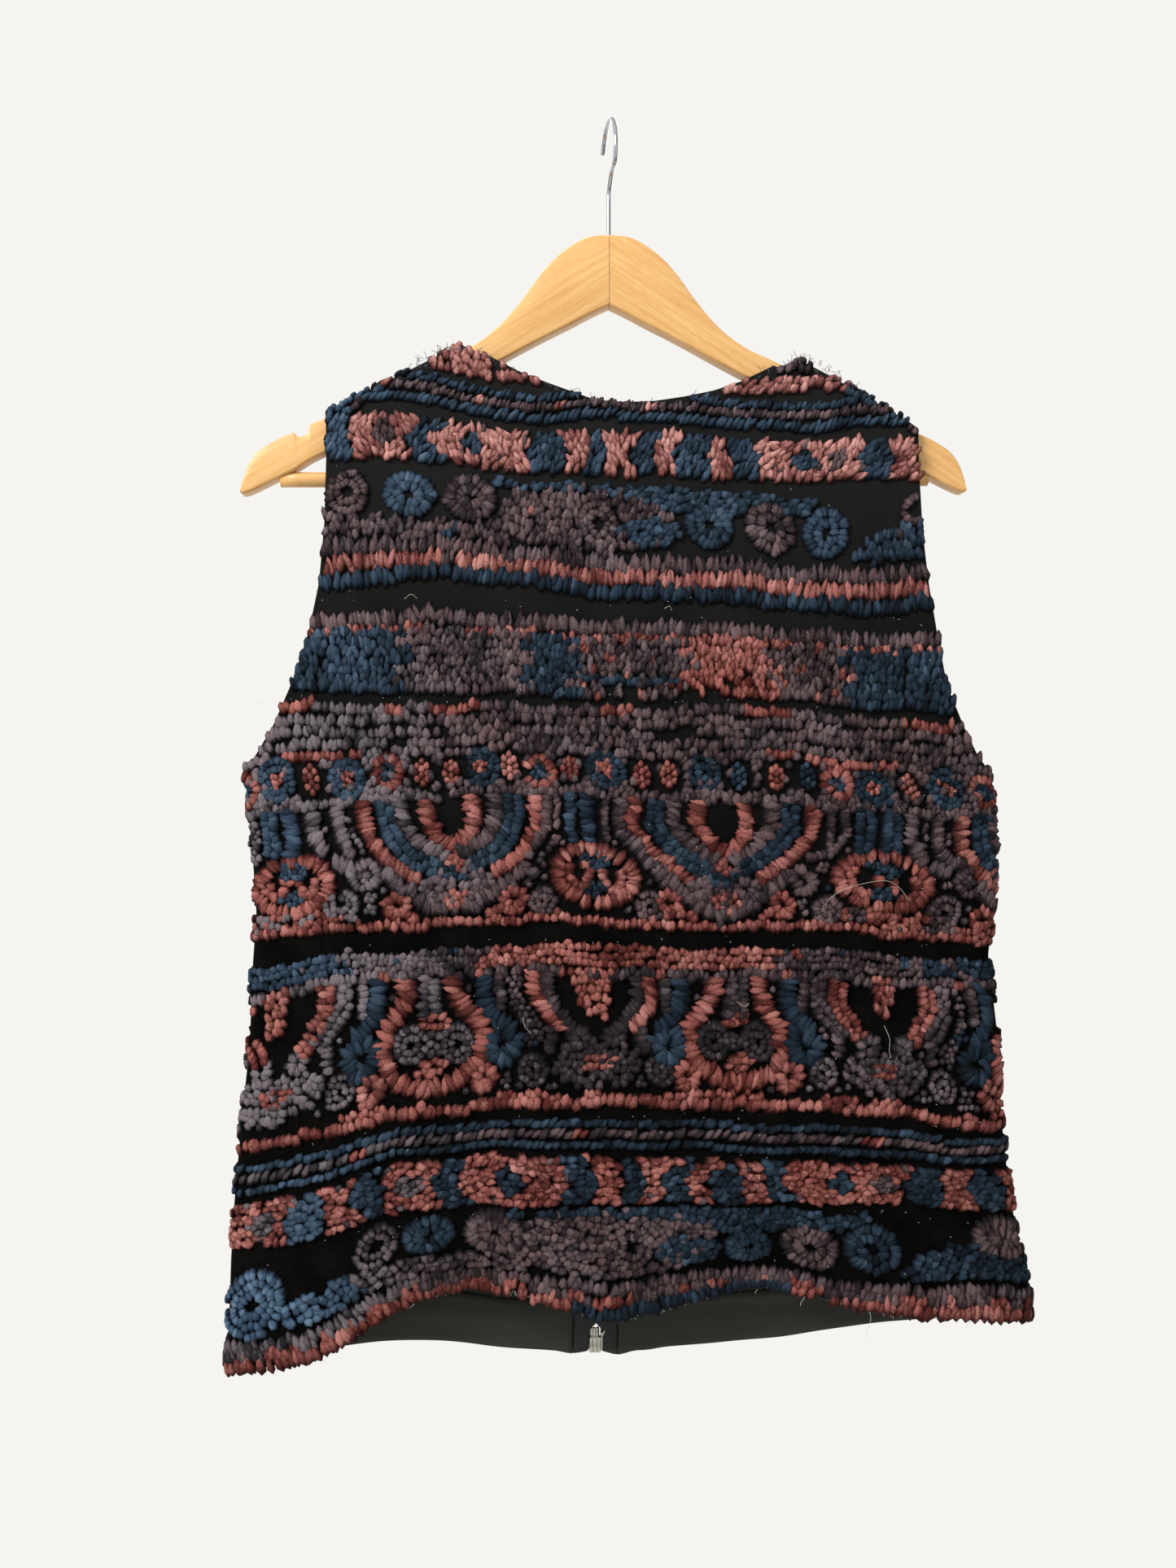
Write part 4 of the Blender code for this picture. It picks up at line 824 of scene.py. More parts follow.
def mixed(first, second, seed, level=0.0, size=18.0):
    """Yarn that changes between two along the cloth, in soft patches."""
    return lambda u, v: np.where(mottle(u, v, seed, size) > level, first, second)


def oval(middle_u, middle_v, half_u, half_v, power=2.0):
    """Inside an oval, whose corners are the fuller the higher the power is."""
    return lambda u, v: (
        np.abs((u - middle_u) / half_u) ** power + np.abs((v - middle_v) / half_v) ** power < 1
    )


# Rose figures of the two hourglass bands: left and right edge at the top, at the waist and at the foot
LOWER_FIGURES = (
    (-252, -192, -252, -202, -252, -199),
    (-183, -160, -178, -165, -179, -153),
    (-146, -109, -144, -120, -147, -112),
    (-94, -42, -105, -35, -94, -43),
    (-27, -10, -20, -3, -23, -8),
    (1, 30, 9, 17, 3, 23),
    (42, 56, 31, 44, 36, 49),
    (60, 75, 67, 81, 67, 82),
    (92, 169, 89, 157, 98, 163),
    (182, 206, 184, 198, 182, 207),
    (221, 252, 225, 252, 223, 252),
)
UPPER_FIGURES = (
    (-182, -131, -184, -146, -178, -138),
    (-115, -59, -130, -65, -116, -60),
    (-46, -23, -35, -22, -41, -29),
    (-17, 14, -10, 1, -16, 9),
    (25, 41, 16, 29, 20, 33),
    (57, 64, 51, 70, 57, 70),
    (80, 161, 86, 151, 88, 160),
    (170, 205, 177, 205, 172, 205),
)
# Their hearts: middle u, half width, yarn
LOWER_HEARTS = ((-215, 11, MAUVE), (-131, 9, MAUVE), (-72, 11, BLUE), (124, 10, BLUE), (148, 8, MAUVE))
UPPER_HEARTS = ((-160, 9, MAUVE), (-99, 9, BLUE), (116, 11, BLUE), (138, 8, MAUVE))
FIGURE_EDGE = 0.9  # half width of the bare line between rose and blue
CORNER_BEND, HEART_BEND, END_LEAN = 30.0, 42.0, 44.0  # degrees
STEEP = 45.0  # the upper band's tufts stand steeper than this, and its right end leans over


def figure_yarn(figures, hearts, low, high):
    """Rose figures on blue, each with straight edges from top to waist to foot."""
    levels = (0.0, 0.5, 1.0)

    def colour(u, v):
        share = (v - low) / (high - low)
        picked = np.full(np.shape(u), BLUE)
        for top_left, top_right, waist_left, waist_right, foot_left, foot_right in figures:
            left = np.interp(share, levels, (foot_left, waist_left, top_left))
            right = np.interp(share, levels, (foot_right, waist_right, top_right))
            picked = np.where((u > left) & (u < right), ROSE, picked)
        picked = np.where((picked == ROSE) & (mottle(u, v, 2.6, 9.0) > 0.98), MAUVE, picked)
        for middle, half, yarn in hearts:
            away = np.abs(u - middle) / half + np.abs(share - 0.5) / 0.36
            picked = np.where((picked != BLUE) & (away < 1), yarn, picked)
        return picked

    def pick(u, v):
        here = colour(u, v)
        edge = (colour(u - FIGURE_EDGE, v) == BLUE) != (colour(u + FIGURE_EDGE, v) == BLUE)
        return np.where(edge, NONE, here)

    return pick


def figure_turns(figures, hearts, low, high, lay, blue_lay):
    """Rose tufts lie one way, bent towards a figure's corners, and round its heart if it has one."""
    middles = np.array([(row[2] + row[3]) / 2 for row in figures])
    heart_at = np.array([row[0] for row in hearts], float)

    def turn(u, v):
        nearest = middles[np.abs(u[:, None] - middles[None, :]).argmin(axis=1)]
        heart = heart_at[np.abs(u[:, None] - heart_at[None, :]).argmin(axis=1)]
        above = np.tanh((v - (low + high) / 2) / 7)
        to_corner = above * np.tanh((u - nearest) / 9)
        round_heart = above * np.tanh((u - heart) / 7)
        bend = np.where(np.abs(u - heart) < 24, -HEART_BEND * round_heart, CORNER_BEND * to_corner)
        inside = figure_yarn(figures, (), low, high)(u, v) != BLUE
        lean = END_LEAN * ease((u - 40) / 70) if lay > STEEP else 0.0
        return np.where(inside, lay + (bend if lay < STEEP else -bend), blue_lay + 0.4 * lean) - lean

    return turn


def hourglass_band(pile, low, high, figures, hearts, lay, blue_lay, size):
    pile.fill(
        -BAND_END, BAND_END, low, high, lambda u, v: (v > low) & (v < high),
        figure_yarn(figures, hearts, low, high),
        turn=figure_turns(figures, hearts, low, high, lay, blue_lay), spread=15.0, lie="any", size=size,
    )


# Rosettes beside the clouds: u, row above the band's foot, radius, yarn, squeeze
UPPER_ROSETTES = (
    (-182, 29, 13.5, MAUVE, 1.05),
    (-143, 28, 16.5, BLUE, 0.82),
    (-104, 28, 17.5, MAUVE, 0.82),
    (-20, 21, 13.5, MAUVE, 1.05),
    (54, 21, 16.0, BLUE, 0.84),
    (94, 22, 17.0, MAUVE, 0.88),
    (131, 20, 15.5, BLUE, 0.94),
    (190, 32, 9, MAUVE, 1.1),
    (236, 30, 10, MAUVE, 1.0),
)
LOWER_ROSETTES = (
    (-216, 18, 19.5, BLUE, 0.88),
    (-147, 28, 12.5, MAUVE, 1.0),
    (-118, 28, 15.5, BLUE, 0.74),
    (-80, 27, 18.5, MAUVE, 0.78),
    (-3, 20, 13, MAUVE, 1.12),
    (67, 17, 15.0, BLUE, 0.72),
    (104, 19, 17.0, MAUVE, 0.78),
    (140, 19, 16.5, BLUE, 0.85),
    (220, 29, 20, MAUVE, 0.62),
)


# The rosettes with a bare line beside them: place in the table, clearance, and where it begins and ends
OUTLINED = ((3, 2.6, 95, 290), (2, 2.4, -75, 70))
# How wide areas are packed: upright leaves near the top, and scales lying across near the hem
LEAVES = {"turn": 88.0, "spread": 13.0, "lie": "up", "size": (2.8, 6.8)}
SCALES = {"turn": 14.0, "spread": 20.0, "lie": "across", "size": (3.5, 5.4)}


def cloud_band(pile, foot, shift, rosettes, tail_start, leaf_start, tail_yarn, packing):
    """Rosettes on bare ground beside a long cloud with a tail to the left and a ribbon over its right."""
    for u, row, radius, yarn, squeeze in rosettes:
        pile.rosette(u, foot + row, radius, yarn, squeeze)
    for which, clear, begin, end in OUTLINED:
        u, row, radius, _, squeeze = rosettes[which]
        pile.hold_round(u, foot + row, radius + clear, (radius + clear) * squeeze, begin=begin, end=end)

    def ribbon(u, v):
        t = (u - shift + 86) / 216
        top = foot + 42.4 - 4.0 * np.clip(t, 0, 1) ** 2
        deep = 3.6 + 11.5 * np.exp(-(((t - 0.6) / 0.15) ** 2)) + 5.0 * ease((t - 0.6) / 0.1) * (t < 0.97)
        return (t > 0) & (t < 1) & (v < top) & (v > top - deep)

    def tail(u, v):
        end = -74 + shift
        top = foot + 12 + 7 * np.exp(-(((u - tail_start - 30) / 36) ** 2)) + 3 * ease((u - end + 30) / 30)
        low = foot + 2.4 + 4 * ease((tail_start + 60 - u) / 60)
        return (u > tail_start + (v - foot) * 0.4) & (u < end) & (v < top) & (v > low)

    def leaf(u, v):
        t = np.clip((u - leaf_start) / 34, 0, 1)
        return (u > leaf_start) & (v > foot + 2.6 + 2.5 * t) & (v < foot + 4 + 20 * np.sqrt(t))

    pile.fill(
        -94 + shift, 132 + shift, foot + 24, foot + 45, ribbon, BLUE, turn=35.0, spread=18.0, lie="any",
    )
    pile.fill(
        -4 + shift, 40 + shift, foot + 6, foot + 25, oval(17 + shift, foot + 15, 21, 8), BLUE,
        turn=30.0, lie="any",
    )
    pile.fill(
        -90 + shift, 50 + shift, foot, foot + 43, oval(-22 + shift, foot + 22, 58, 19.5, 2.6),
        mixed(MAUVE, ROSE, 3.7, -1.3, 14.0), **packing,
    )
    pile.fill(-BAND_END, -56 + shift, foot, foot + 30, tail, tail_yarn, **packing)
    pile.fill(leaf_start, BAND_END, foot, foot + 40, leaf, mixed(BLUE, MAUVE, 0.9, -1.0, 20.0), **packing)


def ropes(pile, rows, thick):
    """Rows of slanting tufts that lie one over another like laid ropes: foot, height, slant, yarn."""
    for foot, high, slant, yarn in rows:
        long = 0.8 * high + 3.4
        step = 0.62 * long * math.cos(math.radians(slant)) + 0.5 * thick * math.sin(math.radians(slant))
        u = np.arange(-BAND_END, BAND_END, step)
        u = u + pile.scatter(len(u), 0.6)
        v = foot + high / 2 + 0.6 * np.sin(u / 15 + foot) + pile.scatter(len(u), 0.4)
        wide = thick * pile.random.uniform(0.85, 1.25, len(u))
        turned = slant + pile.scatter(len(u), 12)
        pile.add(u, v, turned, long * pile.random.uniform(0.8, 1.15, len(u)), wide, chosen(yarn, u, v))


# Middles of the motifs, left to right. The repeats aren't quite even, as in the real cloth
RINGS = ((-206, 27.0, 27.5), (-24, 29.0, 26.5), (157, 33.0, 30.5))  # with half width, middle above the foot
CUPS = (-109, 57, 259)
ONIONS = (-121, 64, 256)
RING_HALF, RING_EDGE = 21.5, 4.2  # half height, and how far inside it the rose tufts' middles lie
UPPER_TOP, LOWER_TOP = 76, 63  # heights of the two ornaments' upper edges
# Heart-topped palmettes of the lower ornament: middle, heart, inner stem, outer stem. A heart is its
# middle, half width at the top, foot and taper; a stem is its offset, width and yarn
PALMETTES = (
    (-210, (-217.5, 6.6, 46.0, 0.06), (24.0, 11.0, ROSE), (35.0, 10.0, MAUVE)),
    (-22, (-22.0, 12.0, 42.0, 0.3), (27.0, 7.6, MAUVE), (34.5, 8.2, ROSE)),
    (155, (155.0, 6.4, 47.0, 0.06), (28.5, 10.6, ROSE), (39.5, 9.6, MAUVE)),
)
# Straight posts over the rings: u, width, foot above the ornament's foot, yarn
POSTS = (
    (-239, 6.0, 47, MAUVE),
    (-219, 9.4, 49, BLUE),
    (-206.5, 8.4, 49, BLUE),
    (-43, 3.0, 57, MAUVE),
    (-35, 6.0, 48, BLUE),
    (-24, 7.0, 48, BLUE),
    (-14, 3.8, 51, MAUVE),
    (122, 4.4, 46, MAUVE),
    (144, 11.5, 47, BLUE),
    (160, 11.5, 47, BLUE),
    (225, 12.0, 44, BLUE),
)
# Strokes that come down beside the rings and lean outwards: width, yarn, places as u and height
LEANING = (
    (8.6, MAUVE, ((-193, 76), (-193, 56), (-186, 45), (-171, 35))),
    (6.8, MAUVE, ((-177.5, 76), (-177.5, 56), (-172, 44))),
    (6.2, MAUVE, ((-49, 76), (-49, 60), (-56, 48), (-69, 34), (-62, 26))),
    (7.0, MAUVE, ((-5, 76), (-5, 60), (2, 47), (13, 34), (19, 24))),
    (4.8, MAUVE, ((130, 76), (130, 56), (123, 47), (111, 42))),
    (8.4, MAUVE, ((174.5, 76), (174.5, 58), (181, 47), (196, 40))),
    (7.0, MAUVE, ((191, 76), (191, 58), (197, 48), (207, 44))),
    (8.4, ROSE, ((205, 76), (205, 58), (212, 47), (226, 38), (238, 30))),
)
# Blue patches of a ring's heart: half width and foot and top of the field, height of its middle, half
# width as a share of the ring's inner half width, half height
RING_HEART = (
    (14, 1, 16, 8.6, 0.5, 5.6),
    (12, -16, -2, -9.4, 0.4, 4.6),
)
# Strokes of a cup, each with its mirror image: width, yarn, places as distance aside and height
CUP_EYE = (8.8, ROSE, ((13.8, 76), (13.8, 60), (9.0, 50.5), (1.5, 46)))
CUP_STROKES = (
    (7.6, ROSE, ((53, 76), (52.5, 57), (45, 44), (23.5, 27))),
    (10.8, BLUE, ((39.5, 76), (39, 58), (30, 43.5), (11, 33))),
    (9.0, MAUVE, ((29, 76), (28.6, 60), (20, 48), (6, 41))),
    (8.2, MAUVE, ((0, 5.5), (14, 8), (25, 17), (41, 30))),
    (5.0, ROSE, ((22, 2), (28, 5), (38, 3))),
)
# Strokes of an onion-shaped ring, the same way: a leaf beside it, and the ring itself
ONION_STROKES = (
    (9.3, BLUE, ((32.5, 63), (32.8, 50), (38, 41), (46, 35))),
    (9.3, ROSE, ((14.0, 63), (15.2, 53), (23, 43.5), (29, 31), (25.5, 16), (12, 7.5), (0, 5.0))),
)
# Round flowers between the rings and the cups: u, height, radius, eye
BLOOMS = (
    (-162, 30, 11.0, 0.0),
    (-177, 12, 11.5, 3.2),
    (-56, 9, 9.4, 1.6),
    (9, 9, 10.0, 2.6),
    (121, 8, 10.5, 1.6),
    (197, 13, 12.0, 3.2),
    (211, 34, 10.5, 0.0),
)


def upper_ornament(pile, foot):
    """Ring medallions between nested cups, standing on a base row. foot is the base row's top."""
    for u, half, middle in RINGS:
        ring_motif(pile, u, half, foot + middle)
    for u in CUPS:
        cup_motif(pile, u, foot)
    for u, width, low, yarn in POSTS:
        pile.stroke([(u, foot + low), (u, foot + UPPER_TOP)], width, yarn)
    for width, yarn, places in LEANING:
        pile.stroke([(u, foot + high) for u, high in places], width, yarn)
    for u, high, radius, eye in BLOOMS:
        pile.rosette(u, foot + high, radius, MAUVE, eye=eye)
    pile.scroll(108, foot + 27, 9.5, 1, MAUVE, begin=100.0, width=6.2)
    for low, high, foot_end in ((-240, -184, 6), (128, 186, 8)):
        pile.fill(
            low, high, foot + 1, foot + foot_end, lambda u, v: v > 0, mixed(MAUVE, ROSE, low, 0.4),
            turn=60.0,
        )


def ring_motif(pile, u, half, middle):
    """A rose ring that holds a blue heart over two scrolls."""
    inner = half - 8.6
    for field, low, high, up, share, tall in RING_HEART:
        pile.fill(
            u - field, u + field, middle + low, middle + high,
            oval(u, middle + up, inner * share, tall, 1.5), BLUE, lie="any", size=(2.8, 4.4),
        )
    squeeze = (RING_HALF - RING_EDGE) / (half - RING_EDGE)
    pile.ring(u, middle, half - RING_EDGE, 7.8, ROSE, squeeze=squeeze)
    for side, begin in ((-1, 70.0), (1, 110.0)):
        at = u + side * inner * 0.54
        pile.scroll(at, middle - 1.0, inner * 0.42, side, ROSE, begin=begin, width=5.2, squeeze=1.3)
    for begin, end in ((-30, 60), (120, 215)):
        pile.hold_round(u, middle, half + 2.2, RING_HALF + 2.2, begin=begin, end=end)


def cup_motif(pile, u, foot):
    """Nested cups in three yarns over a boat-shaped flower, with hooks at its two ends."""
    pile.both(u, foot, *CUP_EYE)
    pile.hold(u, foot + 62, 9.0)
    pile.hold(u, foot + 71, 8.4)
    for side in (-1, 1):
        for row in range(5):
            pile.hold(u + side * 21.6, foot + 57 + row * 4.4, 2.4)
        for row in range(6):
            pile.hold(u + side * (47.4 - 1.4 * max(2 - row, 0)), foot + 52 + row * 4.4, 2.0)
    pile.fill(u - 6, u + 6, foot + 29, foot + 41, oval(u, foot + 35, 5.4, 5.6, 1.5), ROSE, lie="any")
    pile.fill(u - 9, u + 9, foot + 6, foot + 20, oval(u, foot + 12.5, 8.4, 6.4, 1.6), ROSE, lie="any")
    for side in (-1, 1):
        pile.scroll(u + side * 13.5, foot + 21.5, 8.2, -side, MAUVE, begin=90 - side * 60, width=5.8)
        pile.scroll(u + side * 34.5, foot + 10.5, 8.6, side, ROSE, begin=250.0, width=5.6)
    for stroke in CUP_STROKES:
        pile.both(u, foot, *stroke)
    pile.fill(u - 10, u + 10, foot + 24, foot + 32, oval(u, foot + 28, 9, 4.5), BLUE)
    pile.fill(u - 24, u + 24, foot + 10, foot + 36, oval(u, foot + 20, 22, 15), MAUVE)


def lower_ornament(pile, foot):
    """Onion-shaped rings round a twin flower, between heart-topped palmettes."""
    for u in ONIONS:
        onion_motif(pile, u, foot)
    for u, heart, inner, outer in PALMETTES:
        palmette_motif(pile, u, heart, inner, outer, foot)


def onion_motif(pile, u, foot):
    """An onion-shaped ring that opens upwards, with a twin flower in it and a curl at each side."""
    pile.fill(u - 10, u + 10, foot + 36, foot + 45, oval(u, foot + 40, 9, 4.6, 1.5), ROSE, turn=20.0)
    pile.fill(u - 11, u + 11, foot + 12, foot + 22, oval(u, foot + 17, 10, 5, 2.5), ROSE, turn=20.0)
    pile.stroke([(u, foot + LOWER_TOP), (u, foot + 44)], 13.0, MAUVE, slant=4.0)
    pile.fill(u - 4, u + 4, foot + 22, foot + 36, oval(u, foot + 28, 3.6, 8), MAUVE, turn=10.0)
    for side in (-1, 1):
        at = u + side * 42.5
        pile.rosette(u + side * 13.6, foot + 29, 11.0, MAUVE, squeeze=1.05, eye=2.4)
        pile.scroll(u + side * 43.0, foot + 26, 12.4, side, BLUE, begin=90.0 + side * 30.0, width=8.8)
        pile.stroke([(at, foot + LOWER_TOP), (at, foot + 47)], 5.8, MAUVE)
        pile.scroll(u + side * 31.5, foot + 8.5, 8.8, -side, ROSE, begin=100.0, width=6.6)
    for stroke in ONION_STROKES:
        pile.both(u, foot, *stroke)


def palmette_motif(pile, u, heart, inner, outer, foot):
    """A rose heart between two pairs of stems, over a flower with an eye at each side."""
    at, half, low, taper = heart
    top = foot + LOWER_TOP
    pile.fill(
        at - 13, at + 13, foot + low, foot + 66, lambda u, v: np.abs(u - at) < half - (top - v) * taper,
        ROSE, spread=16.0,
    )
    for side in (-1, 1):
        pile.hold(at + side * (half + 5), foot + 57, 5.0)
        pile.hold(at + side * (half + 4), foot + 51, 4.0)
    pile.fill(u - 11, u + 11, foot + 12, foot + 21, oval(u, foot + 16.5, 10, 4.5), ROSE, turn=30.0)
    for aside, width, yarn in (inner, outer):
        places = ((aside, LOWER_TOP), (aside, 51), (aside - 8, 39), (aside - 11, 35))
        pile.both(u, foot, width, yarn, places)
    for side in (-1, 1):
        pile.rosette(u + side * 10.5, foot + 30, 7.6, MAUVE, eye=1.6)
        pile.rosette(u + side * 37.5, foot + 12, 9.4, MAUVE, eye=1.8)
        pile.hold(u + side * 20.5, foot + 31, 1.4)
        pile.hold(u + side * 19.5, foot + 25, 1.4)
        pile.stroke([(u + side * 27.5, foot + 36), (u + side * 28.5, foot + 23)], 6.4, MAUVE)
    pile.fill(u - 28, u + 28, foot + 1, foot + 27, oval(u, foot + 15, 26, 12.5, 2.3), MAUVE, spread=40.0)


# Tufts of a seed: aside, up, turn
SEED = (
    (0, -5.4, 90), (-2.7, -3.2, 118), (2.7, -3.2, 62), (0, -1.4, 92), (-3.5, 0.6, 108),
    (3.5, 0.6, 72), (0, 2.6, 88), (-2.7, 4.4, 100), (2.7, 4.4, 80), (0, 6.6, 90),
)
# Seed band: u and kind. F is a blue flower with a rose heart, R a rose ring with a blue heart, B a blue
# flower with a bare eye, s a rose seed and b a blue one
SEEDS = (
    (-234, "R"), (-213, "F"), (-191, "s"), (-168, "F"), (-143, "R"), (-122, "s"), (-104, "s"),
    (-86, "F"), (-69, "s"), (-52, "R"), (-34, "s"), (-13, "F"), (8, "s"), (24, "s"), (46, "B"),
    (67, "b"), (91, "s"), (111, "b"), (130, "R"), (152, "F"), (176, "s"), (200, "F"), (225, "R"),
)


def seed_band(pile, low, high):
    """Seeds, flowers and rings in a row that wavers, with mauve between them."""
    middle = (low + high) / 2 + 0.8
    small = {"lie": "any", "size": (2.6, 4.4)}
    large = {"lie": "any", "size": (2.8, 4.6)}
    for step, (u, kind) in enumerate(SEEDS):
        v = middle + 1.3 * math.sin(step * 1.9)
        if kind in "sb":
            yarn = ROSE if kind == "s" else BLUE
            aside, up, turn = np.array(SEED, float).T
            pile.add(u + aside, v + up, turn + pile.scatter(len(SEED), 6), 4.4, 2.9, yarn)
            pile.hold_round(u, v, 8.3, 9.4, 2.1)
        elif kind == "F":
            pile.fill(u - 5, u + 5, v - 5, v + 5, oval(u, v, 4.6, 4.6), ROSE, **small)
            pile.ring(u, v, 6.8, 4.2, BLUE)
            pile.ring(u, v, 10.4, 4.4, BLUE)
        elif kind == "B":
            pile.rosette(u, v, 11, BLUE, eye=2.4)
        else:
            pile.fill(u - 5, u + 5, v - 5, v + 5, oval(u, v, 4.6, 5.0), BLUE, **large)
            pile.ring(u, v, 8.4, 6.0, ROSE)

    def rosy(u, v):
        return np.where((np.abs(u + 182) < 24) | (np.abs(u - 128) < 44), ROSE, MAUVE)

    pile.row(low, low + 5.2, MAUVE)
    pile.row(high - 5.0, high, rosy)
    pile.fill(-BAND_END, BAND_END, low, high, lambda u, v: (v > low + 2) & (v < high - 2), MAUVE)


# Patches of the wide band: left u, yarn, yarn that it is mottled with
PATCHES = (
    (-242, BLUE, BLUE),
    (-137, MAUVE, MAUVE),
    (-60, BLUE, BLUE),
    (-30, MAUVE, ROSE),
    (40, ROSE, ROSE),
    (88, MAUVE, ROSE),
    (136, BLUE, BLUE),
)
# Bare notches at its foot, and the feet of its bare slits: u, height above the foot, radius
PATCH_NOTCHES = ((5.5, 1.5, 2.6), (36, 3, 4.0), (42, 2, 3.5))
PATCH_SLITS = (-228, -186, 168, 206)


def patch_yarn(u, v):
    """Yarn of each place: patches with ragged edges, some of them spotted."""
    ragged = u + 5 * np.sin(v * 0.35) + 3 * np.sin(v * 0.9 + 1)
    spots = mottle(u, v, 4.2, 9.0)
    picked = np.full(np.shape(u), BLUE)
    for left, yarn, other in PATCHES:
        picked = np.where(ragged > left, np.where(spots > 0.6, other, yarn), picked)
    return picked


def patch_band(pile, low):
    """Wide patches of one yarn after another, with bare notches under the middle ones."""
    streak = low + 11
    pile.stroke([(-36, streak + 1), (0, streak - 1), (32, streak)], 4.2, BLUE)
    for u, up, radius in PATCH_NOTCHES:
        pile.hold(u, low + up, radius)
    for step in range(9):
        pile.hold(52 + step * 3.6, low + 2 + step * 1.7, 2.4 - step * 0.12)
        pile.hold(-14 + step * 7, low - 1.0, 3.0)
    for u in PATCH_SLITS:
        for v in np.arange(low + 4, low + 30, 3.0):
            pile.hold(u + 0.12 * (v - low), v, 1.5)
    pile.fill(-BAND_END, BAND_END, low, low + 33.5, lambda u, v: v > low, patch_yarn, **LEAVES)


# Slits in the even rows: middle u, row, half length
SLITS = ((-151, 352, 9), (-107, 352, 9), (31, 350, 13), (-136, 343, 5))


def slit_rows(pile, low, high):
    """Even rows of upright tufts, broken by a few narrow slits."""
    for u, v, half in SLITS:
        for at in np.arange(u - half, u + half, 3.0):
            pile.hold(at, v, 2.6)
    step = (high - low) / 4
    yarns = (
        MAUVE,
        mixed(MAUVE, BLUE, 5.0, -1.1, 30.0),
        mixed(MAUVE, ROSE, 1.3, -1.0, 30.0),
        mixed(ROSE, MAUVE, 2.2, 0.35, 30.0),
    )
    for count, yarn in enumerate(yarns):
        pile.row(low + count * step, low + (count + 1) * step - 0.5, yarn)


def side_fade(u, v):
    """The broad band's yarns: rose in the middle, mauve and blue towards the sides."""
    away = np.abs(u - 5) + 26 * mottle(u, v, 7.7, 22.0)
    outer = np.where((away > 190) | (mottle(u, v, 3.1, 12.0) > 0.8), BLUE, MAUVE)
    return np.where(away < 92, ROSE, outer)


# Bare patches at the neck points: u, row, radius
BARE_CORNERS = (
    (-125, 569, 4.2), (-104, 577, 2.6), (-86, 568, 3.6),
    (126, 571, 4.0), (136, 573, 3.6), (92, 570, 2.6),
)
PILE_TOP = 606.0  # above every part of the cloth


def shoulder_corners(pile):
    """Above the ropes: rose up to the left neck point, and at the right a rose row with mauve over it."""
    for u, row, radius in BARE_CORNERS:
        pile.hold(u, row, radius)

    def right_row(u, v):
        foot = 560.0 + 3.0 * np.exp(-(((u - 128) / 14) ** 2))
        return (v > foot) & (v < foot + 6.5)

    size = (2.8, 6.4)
    pile.fill(
        -BAND_END, 0, 560.5, PILE_TOP, lambda u, v: v > 560.5, ROSE, turn=112.0, spread=16.0, size=size,
    )
    pile.fill(0, BAND_END, 559.0, 570.0, right_row, ROSE, turn=48.0, spread=12.0, size=size)
    pile.fill(
        0, BAND_END, 572.5, PILE_TOP, lambda u, v: v > 572.5, MAUVE, turn=64.0, spread=20.0, lie="any",
        size=(2.6, 5.6),
    )


def seam_rows(pile, front):
    """Short tufts along the shoulder seams, out to the armholes, where the bands run out under them."""
    for side in (-1, 1):
        for drop in (2.4, 5.6):
            u = side * np.arange(146.0, 236.0, 2.9)
            v = row_at(u, top_height(u, np.full(len(u), -175.0), front) - drop, front)
            yarn = mixed(BLUE, MAUVE, 1.1 + drop, -0.3, 30.0)
            above = v + pile.scatter(len(u), 0.4)
            pile.add(u, above, 90 - side * 14 + pile.scatter(len(u), 14), 4.4, 2.8, yarn(u, v))


# Ropes of laid tufts: foot, height, slant, yarn
LOWER_ROPES = (
    (99.8, 3.4, 24.0, BLUE),
    (105.2, 5.4, 38.0, mixed(MAUVE, ROSE, 1.9, -0.85, 40.0)),
    (111.8, 4.0, 26.0, BLUE),
)
UPPER_ROPES = (
    (537.0, 5.0, 50.0, BLUE),
    (544.2, 3.2, 62.0, mixed(MAUVE, ROSE, 2.9, -0.9)),
    (550.2, 3.2, 48.0, BLUE),
)


def hem_yarn(u, v):
    return np.where(np.abs(u - 25) < 62, BLUE, ROSE)


def tail_yarn(u, v):
    """The lower cloud's tail turns blue towards the hem's left corner."""
    return np.where(u + 0.8 * (v - 30) < -154, BLUE, MAUVE)


def end_yarn(u, v):
    """A row that shows only towards the two sides."""
    ends = np.where(mottle(u, v, 6.1) > 0, ROSE, MAUVE)
    return np.where((u < -168) | (u > 150), ends, NONE)


def beside_hearts(u, v):
    """The bare fields round the palmettes' hearts."""
    hearts = np.array([heart[0] for _, heart, _, _ in PALMETTES])
    return (np.abs(u[:, None] - hearts) < 27).any(axis=1) & (v > 168)


def in_cups(u, v):
    """The bare fields in the cups."""
    return (np.abs(u[:, None] - np.array(CUPS)) < 11).any(axis=1) & (v > 272)


def nowhere(u, v):
    return np.zeros(np.shape(u), bool)


